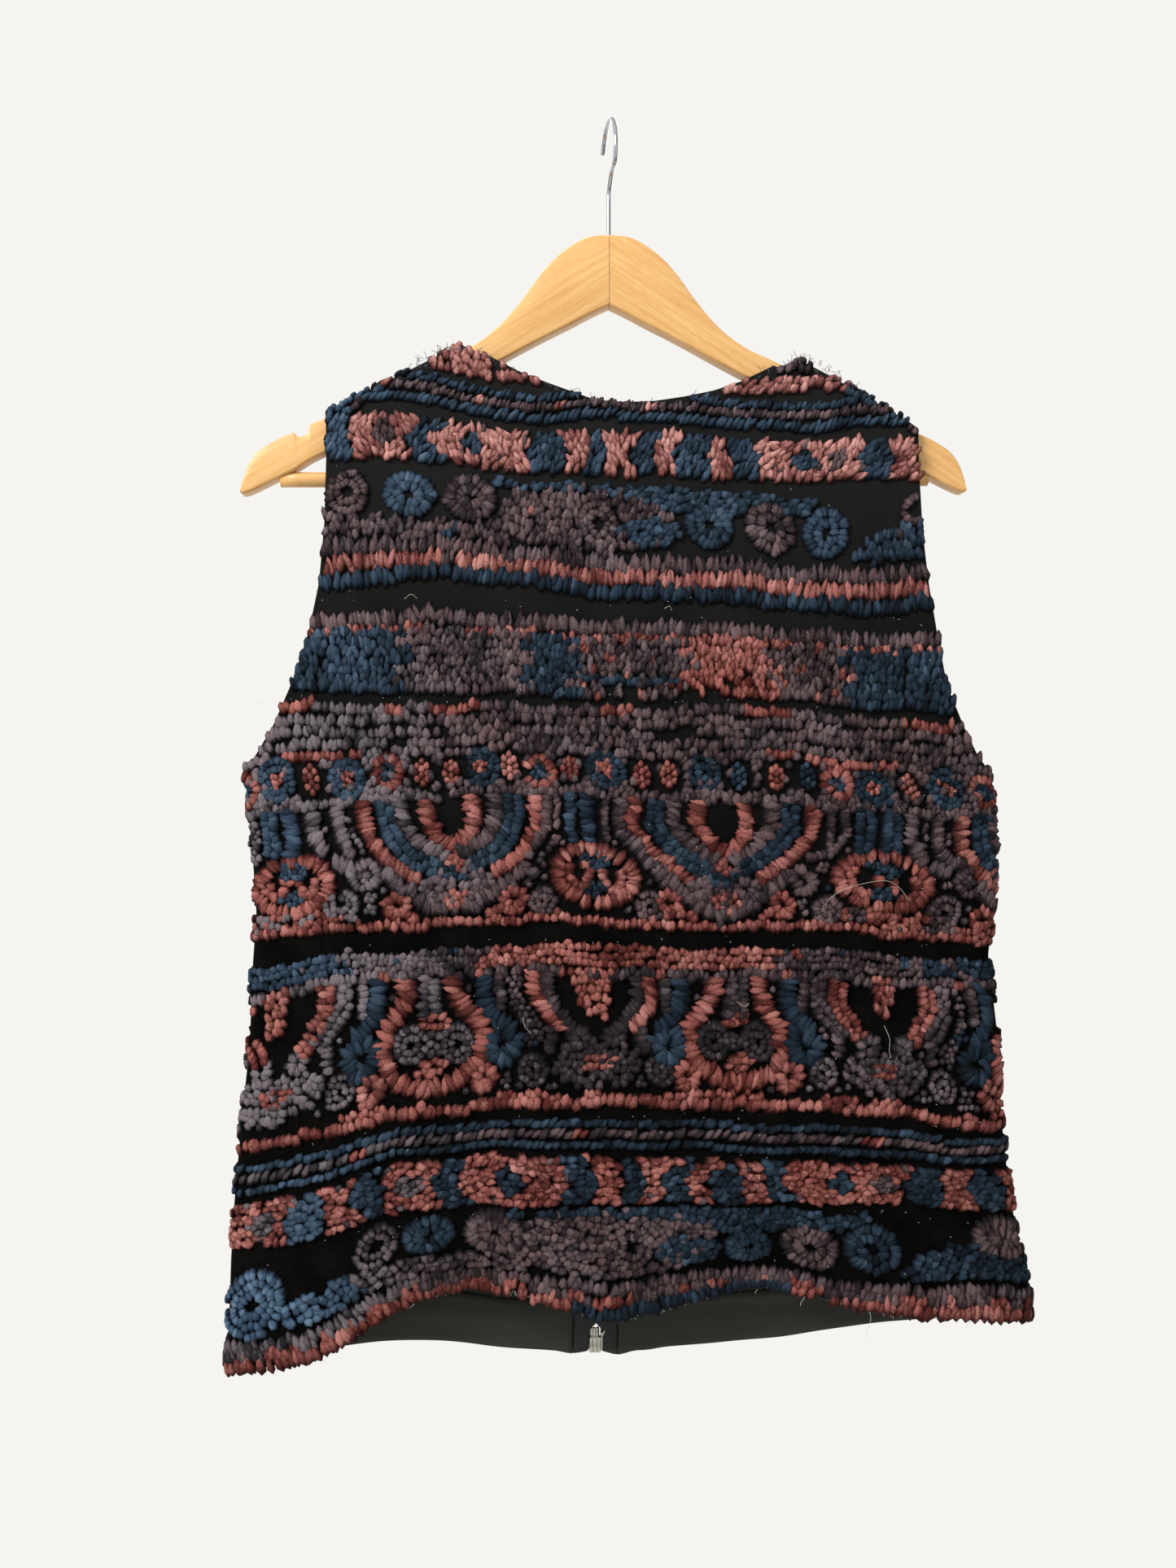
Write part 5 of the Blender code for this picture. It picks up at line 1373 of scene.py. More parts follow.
def lay_bands(pile, front):
    """Every band from the hem up. The fronts' first tufts stay a little above their edge."""
    if front:
        pile.row(3.6, 9.0, ROSE)
        pile.row(8.4, 13.4, mixed(ROSE, MAUVE, 0.7, 0.1))
    else:
        pile.row(-1.0, 6.2, hem_yarn)
        pile.row(6.0, 13.2, mixed(ROSE, MAUVE, 0.7, 0.1))
    pile.row(13.0, 20.0, mixed(MAUVE, ROSE, 3.3, -1.05))
    cloud_band(pile, 21.0, 12.0, LOWER_ROSETTES, -204.0, 154.0, tail_yarn, SCALES)
    hourglass_band(pile, 67.2, 94.0, LOWER_FIGURES, LOWER_HEARTS, 4.0, 12.0, (3.0, 6.0))
    ropes(pile, LOWER_ROPES, 3.0)
    pile.row(123.2, 129.0, ROSE, turn=74.0, wide=3.9)
    pile.row(128.8, 133.0, mixed(ROSE, NONE, 5.1, 0.1, 30.0))
    pile.fit(137.0, 1.08, 132.4)
    lower_ornament(pile, 137.0)
    pile.fit(0.0, 1.0, 0.0)
    pile.fill_gaps(136.0, 199.0, beside_hearts, mixed(MAUVE, BLUE, 2.4, -1.0, 26.0))
    pile.row(200.5, 206.0, mixed(MAUVE, ROSE, 4.9, -0.9))
    for low in (207.4, 211.8, 216.2):
        pile.row(low, low + 4.0, side_fade)
    pile.row(231.4, 236.0, mixed(ROSE, MAUVE, 2.2, -1.0))
    pile.row(235.6, 239.4, end_yarn)
    pile.fit(238.0, 0.96, 236.2)
    upper_ornament(pile, 238.0)
    pile.fit(0.0, 1.0, 0.0)
    pile.fill_gaps(242.0, 307.0, in_cups, mixed(MAUVE, BLUE, 1.3, -0.8, 26.0))
    seed_band(pile, 309.5, 339.5)
    pile.fill_gaps(309.5, 340.0, nowhere, mixed(MAUVE, ROSE, 3.3, -0.9, 26.0), size=(2.6, 3.8))
    slit_rows(pile, 339.5, 364.5)
    patch_band(pile, 370.0)
    pile.row(403.4, 408.2, ROSE, wide=2.7)
    pile.row(407.6, 415.5, mixed(MAUVE, ROSE, 8.0, -1.2, 30.0), wide=3.0)
    pile.row(431.4, 439.0, BLUE, wide=2.9)
    pile.row(438.6, 447.4, mixed(ROSE, MAUVE, 5.5, -1.1, 30.0), wide=2.8)
    pile.row(446.8, 455.4, mixed(MAUVE, ROSE, 2.7, -1.15, 30.0), wide=2.9)
    upper_tail = mixed(MAUVE, BLUE, 1.4, -0.9, 40.0)
    cloud_band(pile, 455.0, -4.0, UPPER_ROSETTES, -250.0, 147.0, upper_tail, LEAVES)
    hourglass_band(pile, 504.8, 528.4, UPPER_FIGURES, UPPER_HEARTS, 98.0, 66.0, (2.6, 7.2))
    ropes(pile, UPPER_ROPES, 2.4)
    shoulder_corners(pile)
    seam_rows(pile, front)
    pile.waver()


# Tufts as solids: a pebble's rings as width share, length share, height share, shift along
PEBBLE = (
    (1.2, 1.08, -0.16, 0.0),
    (1.18, 1.06, 0.46, 0.02),
    (0.84, 0.74, 0.86, 0.05),
)
PEBBLE_TOP = 0.09
PEBBLE_PAINTED_LIGHT = (-0.95, -0.4, 0.14, 0.34)  # painted light of each ring and the top: painted shade low down and a painted highlight on top, added to the tuft's own tone


def pebble(sides):
    """One tuft: three egg-shaped rings and a top, 1 long, 1 wide and 1 high."""
    angle = np.linspace(0, 2 * math.pi, sides, endpoint=False) + math.pi / 2
    rings = []
    for wide, long, high, shift in PEBBLE:
        across = 0.5 * wide * np.cos(angle) * (1 - 0.3 * np.sin(angle))
        along = 0.5 * long * np.sin(angle) + shift
        rings.append(np.stack([across, along, np.full(sides, high)], axis=-1))
    points = np.concatenate(rings + [[[0.0, PEBBLE_TOP, 1.0]]])
    ring = np.arange(sides)
    ahead = np.roll(ring, -1)
    faces = []
    for step in range(len(PEBBLE) - 1):
        low, high = step * sides, (step + 1) * sides
        faces.append(np.stack([ring + low, ahead + low, ahead + high], axis=-1))
        faces.append(np.stack([ring + low, ahead + high, ring + high], axis=-1))
    last = (len(PEBBLE) - 1) * sides
    faces.append(np.stack([ring + last, ahead + last, np.full(sides, len(points) - 1)], axis=-1))
    fan = np.arange(1, sides - 1)
    faces.append(np.stack([np.zeros(sides - 2, int), fan + 1, fan], axis=-1))
    return points, np.concatenate(faces)


AXIS_STEP = 1.2  # for finding which way the cloth's rows run


def cloth_axes(u, v, front, rise):
    """Places on the cloth with the directions along its rows, up them, and outwards."""
    z = lookup_rows(u, v, front)
    left, right = u - AXIS_STEP, u + AXIS_STEP
    along = on_form(right, lookup_rows(right, v, front), front)
    along = unit(along - on_form(left, lookup_rows(left, v, front), front))
    here = laid(u, z, rise, front)
    out = unit(laid(u, z, rise + 1.0, front) - here)
    up = unit(np.cross(along, out) if front else np.cross(out, along))
    up = np.where(up[..., 2:] < 0, -up, up)
    return here, along, up, out


# Dark, middle and light of each yarn's two tones. Each tuft's own tone, its painted shade and its painted
# highlight pick a place between them
YARN_TONES = {
    ROSE: (("#1c0604", "#4f211c", "#a0625a"), ("#2c1816", "#784844", "#d29c94")),
    MAUVE: (("#0a0707", "#2b2023", "#6b5658"), ("#0a0a0d", "#29262a", "#736a6f")),
    BLUE: (("#02060a", "#08111a", "#213140"), ("#141c27", "#34495f", "#61788e")),
}


def yarn_cast(u, v, yarn):
    """How far each tuft goes from its yarn's first tone to its second: rose to pink towards the top,
    mauve from brown to slate at the left and low down, navy to a paler blue at the hem's left."""
    soft = 0.22 * mottle(u, v, 2.2 + yarn, 40.0)
    if yarn == ROSE:
        return 0.1 + 0.75 * ease((v - 380) / 170) + soft
    if yarn == MAUVE:
        slate = ease((-u - 60) / 120) * ease((420 - v) / 60)
        slate = slate + 0.5 * ease((210 - v) / 30) * ease((v - 120) / 12)
        return 0.15 + 0.8 * slate + soft
    left = np.exp(-(((u + 215) / 45) ** 2) - ((v - 35) / 34) ** 2)
    return 0.06 + 0.9 * left + 0.3 * ease((-u - 110) / 90) + 0.2 * ease((v - 430) / 60) + 0.6 * soft


def yarn_light_and_tone(u, v, yarn):
    """How light each tuft is: patchy, with painted shade along the hem, and for mauve a painted light
    towards the left and darker low in the middle.
    """
    # Patchy tone, and painted shade along the hem
    light_and_tone = 0.12 * mottle(u, v, 1.0, 34.0) - 0.05 * ease((14 - v) / 14)
    if yarn != MAUVE:
        return light_and_tone
    # Painted light on the mauve towards the left, then darker low in the middle
    light_and_tone = light_and_tone + 0.15 * ease((-u - 80) / 100) * ease((430 - v) / 40) * ease((v - 110) / 40)
    return light_and_tone - 0.24 * np.exp(-((u / 130) ** 2) - ((v - 165) / 48) ** 2)


def add_values(thing, name, values):
    """Gives each point of a mesh a value between 0 and 1, for its material to read."""
    layer = thing.data.attributes.new(name, "FLOAT", "POINT")
    layer.data.foreach_set("value", np.clip(values, 0, 1).ravel().astype(np.float32))


def grow_tufts(name, tufts, front, finish, sides, seed, yarn):
    """All tufts of one yarn on one panel, as one mesh of closed pebbles, with a tone, painted shade and
    highlight, and a cast for each.
    """
    random = np.random.default_rng(seed)
    count = len(tufts)
    points, faces = pebble(sides)
    u, v, turn, long, wide = tufts[:, :5].T
    long, wide = long * PLUMP_LONG, wide * PLUMP_WIDE
    here, along, up, out = cloth_axes(u, v, front, WALL)
    turn = np.radians(turn)[:, None]
    long_way = along * np.cos(turn) + up * np.sin(turn)
    wide_way = along * np.sin(turn) - up * np.cos(turn)
    high = TUFT_HIGH * random.uniform(0.82, 1.12, count)
    lean = random.normal(0.12, 0.1, count)
    local = points[None] * np.stack([wide, long, high], axis=-1)[:, None]
    local[:, :, 1] += (lean * long)[:, None] * points[None, :, 2]
    local[:, :, 0] += random.normal(0, 0.12, (count, len(points)))
    local[:, :, 1] += random.normal(0, 0.16, (count, len(points)))
    ways = np.stack([wide_way, long_way, out], axis=1)
    placed = here[:, None] + sum(local[..., axis, None] * ways[:, axis, None] for axis in range(3))
    all_faces = join_copies(len(points), faces[:, ::-1] if front else faces, count)
    thing = make_mesh(name, placed.reshape(-1, 3), all_faces, [finish])
    tone_and_painted_light = 0.44 + random.normal(0, 0.12, count) + yarn_light_and_tone(u, v, yarn)
    # Painted shade on each tuft's lower rings and a painted highlight on its top
    depth = np.repeat(PEBBLE_PAINTED_LIGHT, [sides] * len(PEBBLE) + [1])
    add_values(thing, "tone_and_painted_light", tone_and_painted_light[:, None] + depth)
    cast = yarn_cast(u, v, yarn) + random.normal(0, 0.12, count)
    add_values(thing, "cast", np.repeat(cast, len(points)))
    return thing


# Finishes

def wire(tree, node, links):
    """Links each named socket of a node to what feeds it: an output, or a node for its first one."""
    for socket, source in dict(links).items():
        tree.links.new(getattr(source, "outputs", [source])[0], node.inputs[socket])


def add_node(tree, kind, settings=(), links=(), stops=()):
    """One node: settings are pairs of socket or property and value, links are as wire takes them, and
    stops are the places and hex colours of a ramp."""
    node = tree.nodes.new(kind)
    for key, value in dict(settings).items():
        if isinstance(key, int) or key in node.inputs:
            node.inputs[key].default_value = value
        else:
            setattr(node, key, value)
    wire(tree, node, links)
    if len(stops) > 2:
        node.color_ramp.elements.new(0.5)
    for (place, code), element in zip(stops, node.color_ramp.elements if stops else ()):
        element.position = place
        element.color = linear(code)
    return node


def new_material(name, **settings):
    """A named material: its nodes, its shader with plain values set, and its own coordinates."""
    made = bpy.data.materials.new(name)
    made.use_nodes = True
    tree = made.node_tree
    shader = tree.nodes["Principled BSDF"]
    for key, value in settings.items():
        shader.inputs[key.replace("_", " ")].default_value = value
    return made, tree, shader, add_node(tree, "ShaderNodeTexCoord").outputs


def yarn_material(name, first, second):
    """Spun acrylic pile: matt, brushed soft. Each tuft differs a little in tone and in cast, and carries
    painted shade low down and a painted highlight on top.
    """
    made, tree, shader, place = new_material(
        name, Roughness=0.8, Sheen_Weight=0.06, Sheen_Roughness=0.4, Specular_IOR_Level=0.12,
        Sheen_Tint=linear(first[2]),
    )
    tone_and_painted_light = add_node(tree, "ShaderNodeAttribute", {"attribute_name": "tone_and_painted_light"})
    cast = add_node(tree, "ShaderNodeAttribute", {"attribute_name": "cast"})
    # Fibres 0.5 mm thick show as fine streaks; real ones are finer
    fibre = add_node(
        tree, "ShaderNodeTexNoise", {"Scale": 900.0, "Detail": 2.0, "Roughness": 0.7},
        {"Vector": place["Object"]},
    )
    streak = add_node(tree, "ShaderNodeMath", {"operation": "MULTIPLY_ADD", 1: 0.7, 2: -0.35}, {0: fibre})
    light = add_node(
        tree, "ShaderNodeMath", {"operation": "ADD", "use_clamp": True},
        {0: tone_and_painted_light.outputs["Fac"], 1: streak},
    )
    tones = [
        add_node(tree, "ShaderNodeValToRGB", (), {"Fac": light}, tuple(zip((0.0, 0.5, 1.0), tone)))
        for tone in (first, second)
    ]
    blend = add_node(
        tree, "ShaderNodeMixRGB", (),
        {"Fac": cast.outputs["Fac"], "Color1": tones[0], "Color2": tones[1]},
    )
    relief = add_node(tree, "ShaderNodeBump", {"Strength": 0.5, "Distance": 0.0006}, {"Height": fibre})
    wire(tree, shader, {"Base Color": blend, "Normal": relief})
    return made


def ground_material():
    """Sheared velvet ground between the tufts: near black and matt, with painted light that makes it paler
    towards the shoulders.
    """
    made, tree, shader, place = new_material("sheared_ground", Roughness=0.95, Specular_IOR_Level=0.04)
    nap = add_node(
        tree, "ShaderNodeTexNoise", {"Scale": 700.0, "Detail": 3.0, "Roughness": 0.65},
        {"Vector": place["Object"]},
    )
    wide = add_node(tree, "ShaderNodeTexNoise", {"Scale": 45.0, "Detail": 2.0}, {"Vector": place["Object"]})
    both = add_node(tree, "ShaderNodeMath", {"operation": "MULTIPLY"}, {0: nap, 1: wide})
    ramp = add_node(tree, "ShaderNodeValToRGB", (), {"Fac": both}, ((0.12, "#020202"), (0.42, "#0e0d0c")))
    height = add_node(tree, "ShaderNodeSeparateXYZ", (), {"Vector": place["Object"]})
    # Painted light: the ground is made paler towards the top, as if lit from above
    painted_top_light = add_node(
        tree, "ShaderNodeMapRange", {"From Min": -0.5, "From Max": -0.18, "To Min": 0.0, "To Max": 0.011},
        {"Value": height.outputs["Z"]},
    )
    ground_with_painted_light = add_node(tree, "ShaderNodeVectorMath", {"operation": "ADD"}, {0: ramp, 1: painted_top_light})
    relief = add_node(tree, "ShaderNodeBump", {"Strength": 0.5, "Distance": 0.0005}, {"Height": nap})
    wire(tree, shader, {"Base Color": ground_with_painted_light, "Normal": relief})
    return made


def jersey_material():
    """Black knitted backing, bonded to the fleece: smooth, matt, very slightly green."""
    made, tree, shader, place = new_material(
        "bonded_backing", Base_Color=linear("#31332d"), Roughness=0.9, Sheen_Weight=0.06,
        Specular_IOR_Level=0.3,
    )
    # Stitches 0.9 mm apart, twice the real spacing, so that they show
    knit = add_node(tree, "ShaderNodeTexVoronoi", {"Scale": 1100.0}, {"Vector": place["Object"]})
    relief = add_node(tree, "ShaderNodeBump", {"Strength": 0.25, "Distance": 0.0003}, {"Height": knit})
    wire(tree, shader, {"Normal": relief})
    return made


def tape_material():
    """Woven polyester zip tape: black, a fine twill 0.8 mm across."""
    made, tree, shader, place = new_material("woven_tape", Base_Color=linear("#141416"), Roughness=0.7)
    twill = add_node(
        tree, "ShaderNodeTexWave", {"Scale": 400.0, "bands_direction": "DIAGONAL"},
        {"Vector": place["Object"]},
    )
    relief = add_node(
        tree, "ShaderNodeBump", {"Strength": 0.4, "Distance": 0.0002}, {"Height": twill.outputs["Fac"]}
    )
    wire(tree, shader, {"Normal": relief})
    return made


def nickel_material():
    """Nickel-plated brass: bright, a little brushed by wear."""
    made, tree, shader, place = new_material("nickel_plate", Metallic=1.0, Roughness=0.28)
    wear = add_node(
        tree, "ShaderNodeTexNoise", {"Scale": 260.0, "Detail": 3.0}, {"Vector": place["Object"]}
    )
    ramp = add_node(tree, "ShaderNodeValToRGB", (), {"Fac": wear}, ((0.0, "#a9a59d"), (1.0, "#d9d6cf")))
    wire(tree, shader, {"Base Color": ramp})
    return made


def chrome_material():
    """Polished chrome on steel wire."""
    return new_material("polished_chrome", Base_Color=linear("#bfc2c8"), Metallic=1.0, Roughness=0.09)[0]


def wood_material():
    """Clear-varnished beech, turned honey yellow: long soft grain under a glossy coat.

    The pattern reads the piece's UV map, in metres: along the arm and round it."""
    made, tree, shader, place = new_material(
        "varnished_beech", Roughness=0.45, Coat_Weight=0.3, Coat_Roughness=0.3
    )
    # Grain 2.5 mm wide and about 60 mm long, warped a little
    stretched = add_node(tree, "ShaderNodeMapping", {"Scale": (16.0, 400.0, 1.0)}, {"Vector": place["UV"]})
    grain = add_node(
        tree, "ShaderNodeTexNoise", {"Scale": 1.0, "Detail": 5.0, "Roughness": 0.6, "Distortion": 0.4},
        {"Vector": stretched},
    )
    # Flecks 0.6 mm wide and 6 mm long
    finer = add_node(tree, "ShaderNodeMapping", {"Scale": (170.0, 1500.0, 1.0)}, {"Vector": place["UV"]})
    fleck = add_node(tree, "ShaderNodeTexNoise", {"Scale": 1.0, "Detail": 1.0}, {"Vector": finer})
    fleck_part = add_node(
        tree, "ShaderNodeMath", {"operation": "MULTIPLY_ADD", 1: 0.35, 2: -0.17}, {0: fleck}
    )
    both = add_node(tree, "ShaderNodeMath", {"operation": "ADD"}, {0: grain, 1: fleck_part})
    ramp = add_node(
        tree, "ShaderNodeValToRGB", (), {"Fac": both},
        ((0.25, "#d59a56"), (0.5, "#e0ad68"), (0.75, "#ebbe80")),
    )
    relief = add_node(tree, "ShaderNodeBump", {"Strength": 0.05, "Distance": 0.0004}, {"Height": grain})
    wire(tree, shader, {"Base Color": ramp, "Normal": relief})
    return made


def thread_material(name, code):
    """Single loose fibres and sewing thread."""
    return new_material(name, Base_Color=linear(code), Roughness=0.8, Sheen_Weight=0.3)[0]


# Cloth

ACROSS, UP = 150, 190  # grid of a back wall; a front has half as many across
EDGE_CROWD = 1.45  # how much the grid's columns crowd towards the two edges
TOP_ROWS, TOP_SHARE, TOP_CROWD = 14, 0.05, 1.7  # rows that crowd in the top share of a panel
SETTLE_ROUNDS = 14


def spread_ends(count, power):
    """Even shares from 0 to 1 that crowd together towards both ends."""
    t = np.linspace(-1, 1, count)
    return 0.5 + 0.5 * np.sign(t) * (1 - (1 - np.abs(t)) ** power)


def panel_grid(side, across, up):
    """u and z of a grid over a panel: shares across between its edges, and up from hem to top. The edges
    depend on z and the top on u, so the grid settles in a few rounds."""
    front = side != 0
    share_u = spread_ends(across, EDGE_CROWD)[None, :]
    crowded = 1 - TOP_SHARE * np.linspace(0.95, 0, TOP_ROWS) ** TOP_CROWD
    share_z = np.concatenate([np.linspace(0, 1 - TOP_SHARE, up - TOP_ROWS), crowded])[:, None]
    z = np.full((up, across), -500.0)
    for _ in range(SETTLE_ROUNDS):
        low, high = panel_sides(z, side)
        u = low + (high - low) * share_u
        hem = lookup_rows(u, 0.0, front)
        z = 0.4 * z + 0.6 * (hem + (top_height(u, z, front) - hem) * share_z)
    return u, z


def build_wall(name, side, node, finishes, across):
    """A panel's thin wall: sheared ground outside, smooth backing inside."""
    front = side != 0
    u, z = panel_grid(side, across, UP)
    wall = shell(name, laid(u, z, WALL, front), laid(u, z, 0.0, front), finishes, flip=front)
    place_piece(wall, node)
    return wall


TIP_OVER = 0.7  # how far a tuft's tip may stand above the shoulder seam or the neckline
LEAST_TUFT = 2.4  # length below which a trimmed tuft is left out
PILE_MARGIN = 1.1  # from a panel's edge to its nearest tufts' middles


def trim_tips(tufts, front):
    """Shortens the tufts whose upper tips would stand well above the cloth's top edge."""
    u, v, turn, long = tufts[:, :4].T
    upright = np.sin(np.radians(turn))
    tip = u + np.sign(upright) * np.cos(np.radians(turn)) * long * PLUMP_LONG / 2
    z = lookup_rows(u, v, front)
    room = np.minimum(top_height(u, z, front), top_height(tip, z, front)) - z + TIP_OVER
    trimmed = tufts.copy()
    trimmed[:, 3] = np.minimum(long, room * 2 / PLUMP_LONG / np.maximum(np.abs(upright), 0.1))
    return trimmed[trimmed[:, 3] > LEAST_TUFT]


def build_pile(name, side, pile, yarns, sides, seed):
    """One mesh of tufts for each yarn on a panel."""
    front = side != 0
    tufts = pile.tufts
    keep = on_panel(tufts[:, 0], tufts[:, 1], side, PILE_MARGIN)
    tufts = trim_tips(tufts[keep], front)
    made = []
    for yarn, (word, finish) in enumerate(yarns):
        own = tufts[tufts[:, 5] == yarn]
        thing = grow_tufts(f"{name}_pile_{word}", own, front, finish, sides, seed + yarn, yarn)
        place_piece(thing)
        made.append(thing)
    return made


def strip(name, u, z, rises, front, finishes, slot, node):
    """Cloth or tape laid inside a panel over a grid of u and z, rises millimetres out of its inside."""
    outer, inner = (laid(u, z, rise, front) for rise in rises)
    made = shell(name, outer, inner, finishes, flip=front)
    place_piece(made, node)
    return made


def build_cloth(finishes):
    yarns = [(word, finishes[word]) for word in ("rose", "mauve", "blue")]
    cloth = [finishes["ground"], finishes["backing"]]
    # name, side, solid, columns of its grid, sides of its tufts, seed
    for name, side, node, across, sides, seed in (
        ("back", 0, "back_panel", ACROSS, 6, 11),
        ("front_left", -1, "front_left", ACROSS // 2, 5, 23),
        ("front_right", 1, "front_right", ACROSS // 2, 5, 37),
    ):
        wall = build_wall(name + "_wall", side, node, cloth, across)
        pile = Pile(seed)
        lay_bands(pile, side != 0)
        tufts = build_pile(name, side, pile, yarns, sides, seed)


NECK_FACING_REACH, NECK_FACING_DROP = 84.0, 0.8  # how far it goes to either side, and under the edge
HEM_FACING_LIFT = 0.6


def between(u, low, high):
    """A grid from one edge to another over the places u, in nine rows."""
    share = np.linspace(0, 1, 9)[:, None]
    return np.broadcast_to(u, (9, len(u))), low + (high - low) * share


def build_facings(finishes):
    black = [finishes["backing"], finishes["backing"]]
    neck_u = np.linspace(-NECK_FACING_REACH, NECK_FACING_REACH, 60)
    middle, half = middle_and_half(-165.0)
    top = lookup(middle + half * neck_u / HALF_U, NECKLINE) - NECK_FACING_DROP
    grid = between(neck_u, top - FACING_DEEP, top)
    neck = strip("neck_facing", *grid, FACING_RISES, False, black, "facing", "back_neck_facing")
    for side, word in SIDES:
        foot_u = u_of_x(ZIP_FOOT_X + side * (ZIP_HALF + TAPE_REACH + 1.0), HEM_LEVEL)
        u = np.linspace(foot_u, side * (HALF_U - SIDE_CLEAR), 60)
        hem = lookup_rows(u, 0.0, True) + HEM_FACING_LIFT
        name = "hem_facing_" + word
        grid = between(u, hem, hem + HEM_FACING_DEEP)
        facing = strip(name, *grid, FACING_RISES, True, black, "facing", "front_" + name)


# Loose fibres and lint

THREAD_HALF = 0.11  # half a loose thread's thickness


def grow_fibres(name, paths, half, finish):
    """Fine square tubes along many paths of equal length, each closed at both ends."""
    count, steps = paths.shape[:2]
    ahead = unit(np.gradient(paths, axis=1))
    first = unit(np.cross(ahead, np.array([0.35, 0.9, 0.26])))
    second = np.cross(ahead, first)
    rings = np.stack([first, second, -first, -second], axis=2) * half
    points = (paths[:, :, None] + rings).reshape(-1, 3)
    last = steps * 4
    caps = np.array([[3, 2, 1, 0], [last - 4, last - 3, last - 2, last - 1]])
    faces = np.concatenate([grid_quads(steps, 4, wrap=True), caps])
    place_piece(make_mesh(name, points, join_copies(last, faces, count), [finish]))


def curls(random, starts, heading, length, bend, out):
    """Curling paths: from each start one heads off and turns steadily. Headings are in the X-Z plane."""
    steps = np.linspace(0, 1, 9)[None, :]
    count = len(starts)
    turn = heading[:, None] + random.normal(0, bend, count)[:, None] * steps
    reach = (length * random.uniform(0.5, 1.5, count))[:, None] / 8
    still = np.zeros((count, 1))
    x = np.concatenate([still, np.cumsum(np.cos(turn[:, 1:]) * reach, axis=1)], axis=1)
    z = np.concatenate([still, np.cumsum(np.sin(turn[:, 1:]) * reach, axis=1)], axis=1)
    y = out * random.uniform(0.2, 1.4, count)[:, None] * steps
    return starts[:, None] + np.stack([x, y, z], axis=-1)


def on_back(u, v, rise):
    """Points over places on the back."""
    return laid(u, lookup_rows(u, v, False), rise, False)


# Single threads caught in the pile: places as u and v
CAUGHT_THREADS = (
    ((117, 246), (121, 252), (130, 259), (144, 264), (156, 266), (165, 262), (172, 254)),
    ((154, 178), (156, 171), (155.5, 164), (158, 157)),
    ((-66, 176), (-64, 171), (-61, 167)),
    ((64, 187), (68, 184), (72, 186)),
    ((-141, 421), (-137, 423), (-133, 421)),
    ((22, 426), (25, 427.5), (27, 425)),
)
# Threads that hang from the hem: u, length
HANGING_THREADS = ((131, 17), (96, 9), (-174, 7), (70, 6), (-128, 5), (190, 6))
BARE_ROWS = (222.5, 423.0, 118.5, 367.0, 60.0)  # bare ground between bands
# Groups of fibres: length, how much each turns, how far it stands out, half thickness
NECK_FIBRES = (3.4, 2.2, -1.0, 0.16)
HEM_FIBRES = (2.3, 1.6, -0.8, 0.14)
LINT = (0.9, 2.0, -0.2, 0.15)
HEM_COUNT, BARE_COUNT, TOP_COUNT = 230, 90, 110


def grow_curls(name, random, starts, heading, group, finish):
    length, bend, out, half = group
    grow_fibres(name, curls(random, starts, heading, length, bend, out), half, finish)


def neck_ends(random):
    """Places along the neckline, thickest at the two neck points, where ends of the pile stand up."""
    x = np.concatenate([
        random.uniform(NECK_LEFT - 30, NECK_LEFT + 6, 34),
        random.uniform(NECK_RIGHT - 8, NECK_RIGHT + 34, 44),
        random.uniform(NECK_LEFT, NECK_RIGHT, 50),
    ])
    inside = (x > NECK_LEFT) & (x < NECK_RIGHT)
    z = np.where(inside, neck_height(x), shoulder_line(x)) - random.uniform(0.5, 5.0, len(x))
    return laid(u_of_x(x, z), z, WALL + 2.0, False)


def thread_paths():
    """Threads that lie over the pile and dip in at both ends, and threads that fall from the hem."""
    share = np.linspace(0, 1, 22)
    lift = WALL + TUFT_HIGH + 0.5 - 0.9 * np.cos(2 * math.pi * share)
    paths = []
    for thread in CAUGHT_THREADS:
        keys = np.linspace(0, 1, len(thread))
        u, v = (smooth_lookup(share, keys, column(thread, axis)) for axis in (0, 1))
        points = on_back(u, v, 0.0)
        paths.append(points + (on_back(u, v, 1.0) - points) * lift[:, None])
    for u, length in HANGING_THREADS:
        start = on_back(np.array([float(u)]), 0.8, WALL + 0.6)[0]
        paths.append(start + np.stack([1.4 * np.sin(share * 5), -0.6 * share, -length * share], axis=-1))
    return np.array(paths)


def build_fibres(finishes):
    random = np.random.default_rng(71)
    starts = neck_ends(random)
    heading = random.normal(math.pi / 2, 0.7, len(starts))
    for first, word in enumerate(("mauve", "blue")):
        part = slice(first, None, 2)
        finish = finishes[word + "_thread"]
        grow_curls("neck_fibres_" + word, random, starts[part], heading[part], NECK_FIBRES, finish)
    # The cut hem sheds short silvery fibres
    silver = finishes["silver_thread"]
    hem_u = random.uniform(-225, 228, HEM_COUNT)
    starts = on_back(hem_u, random.uniform(0.0, 1.6, HEM_COUNT), WALL)
    heading = random.normal(-math.pi / 2, 0.8, HEM_COUNT)
    grow_curls("hem_fibres", random, starts, heading, HEM_FIBRES, silver)
    grow_fibres("caught_threads", thread_paths(), THREAD_HALF, finishes["pale_thread"])
    # Lint, on the bare bands and on top of the pile
    bare_u = random.uniform(-215, 220, BARE_COUNT)
    bare_v = random.choice(BARE_ROWS, BARE_COUNT) + random.normal(0, 2.4, BARE_COUNT)
    top_u, top_v = random.uniform(-220, 222, TOP_COUNT), random.uniform(24, 530, TOP_COUNT)
    on_ground, on_pile = WALL + 0.3, WALL + TUFT_HIGH + 0.1
    starts = np.concatenate([on_back(bare_u, bare_v, on_ground), on_back(top_u, top_v, on_pile)])
    heading = random.uniform(0, 2 * math.pi, len(starts))
    grow_curls("lint", random, starts, heading, LINT, silver)


# Zip

TOOTH_PITCH = 2.6
TOOTH_LIFT = 0.75  # of the teeth's middle, outwards
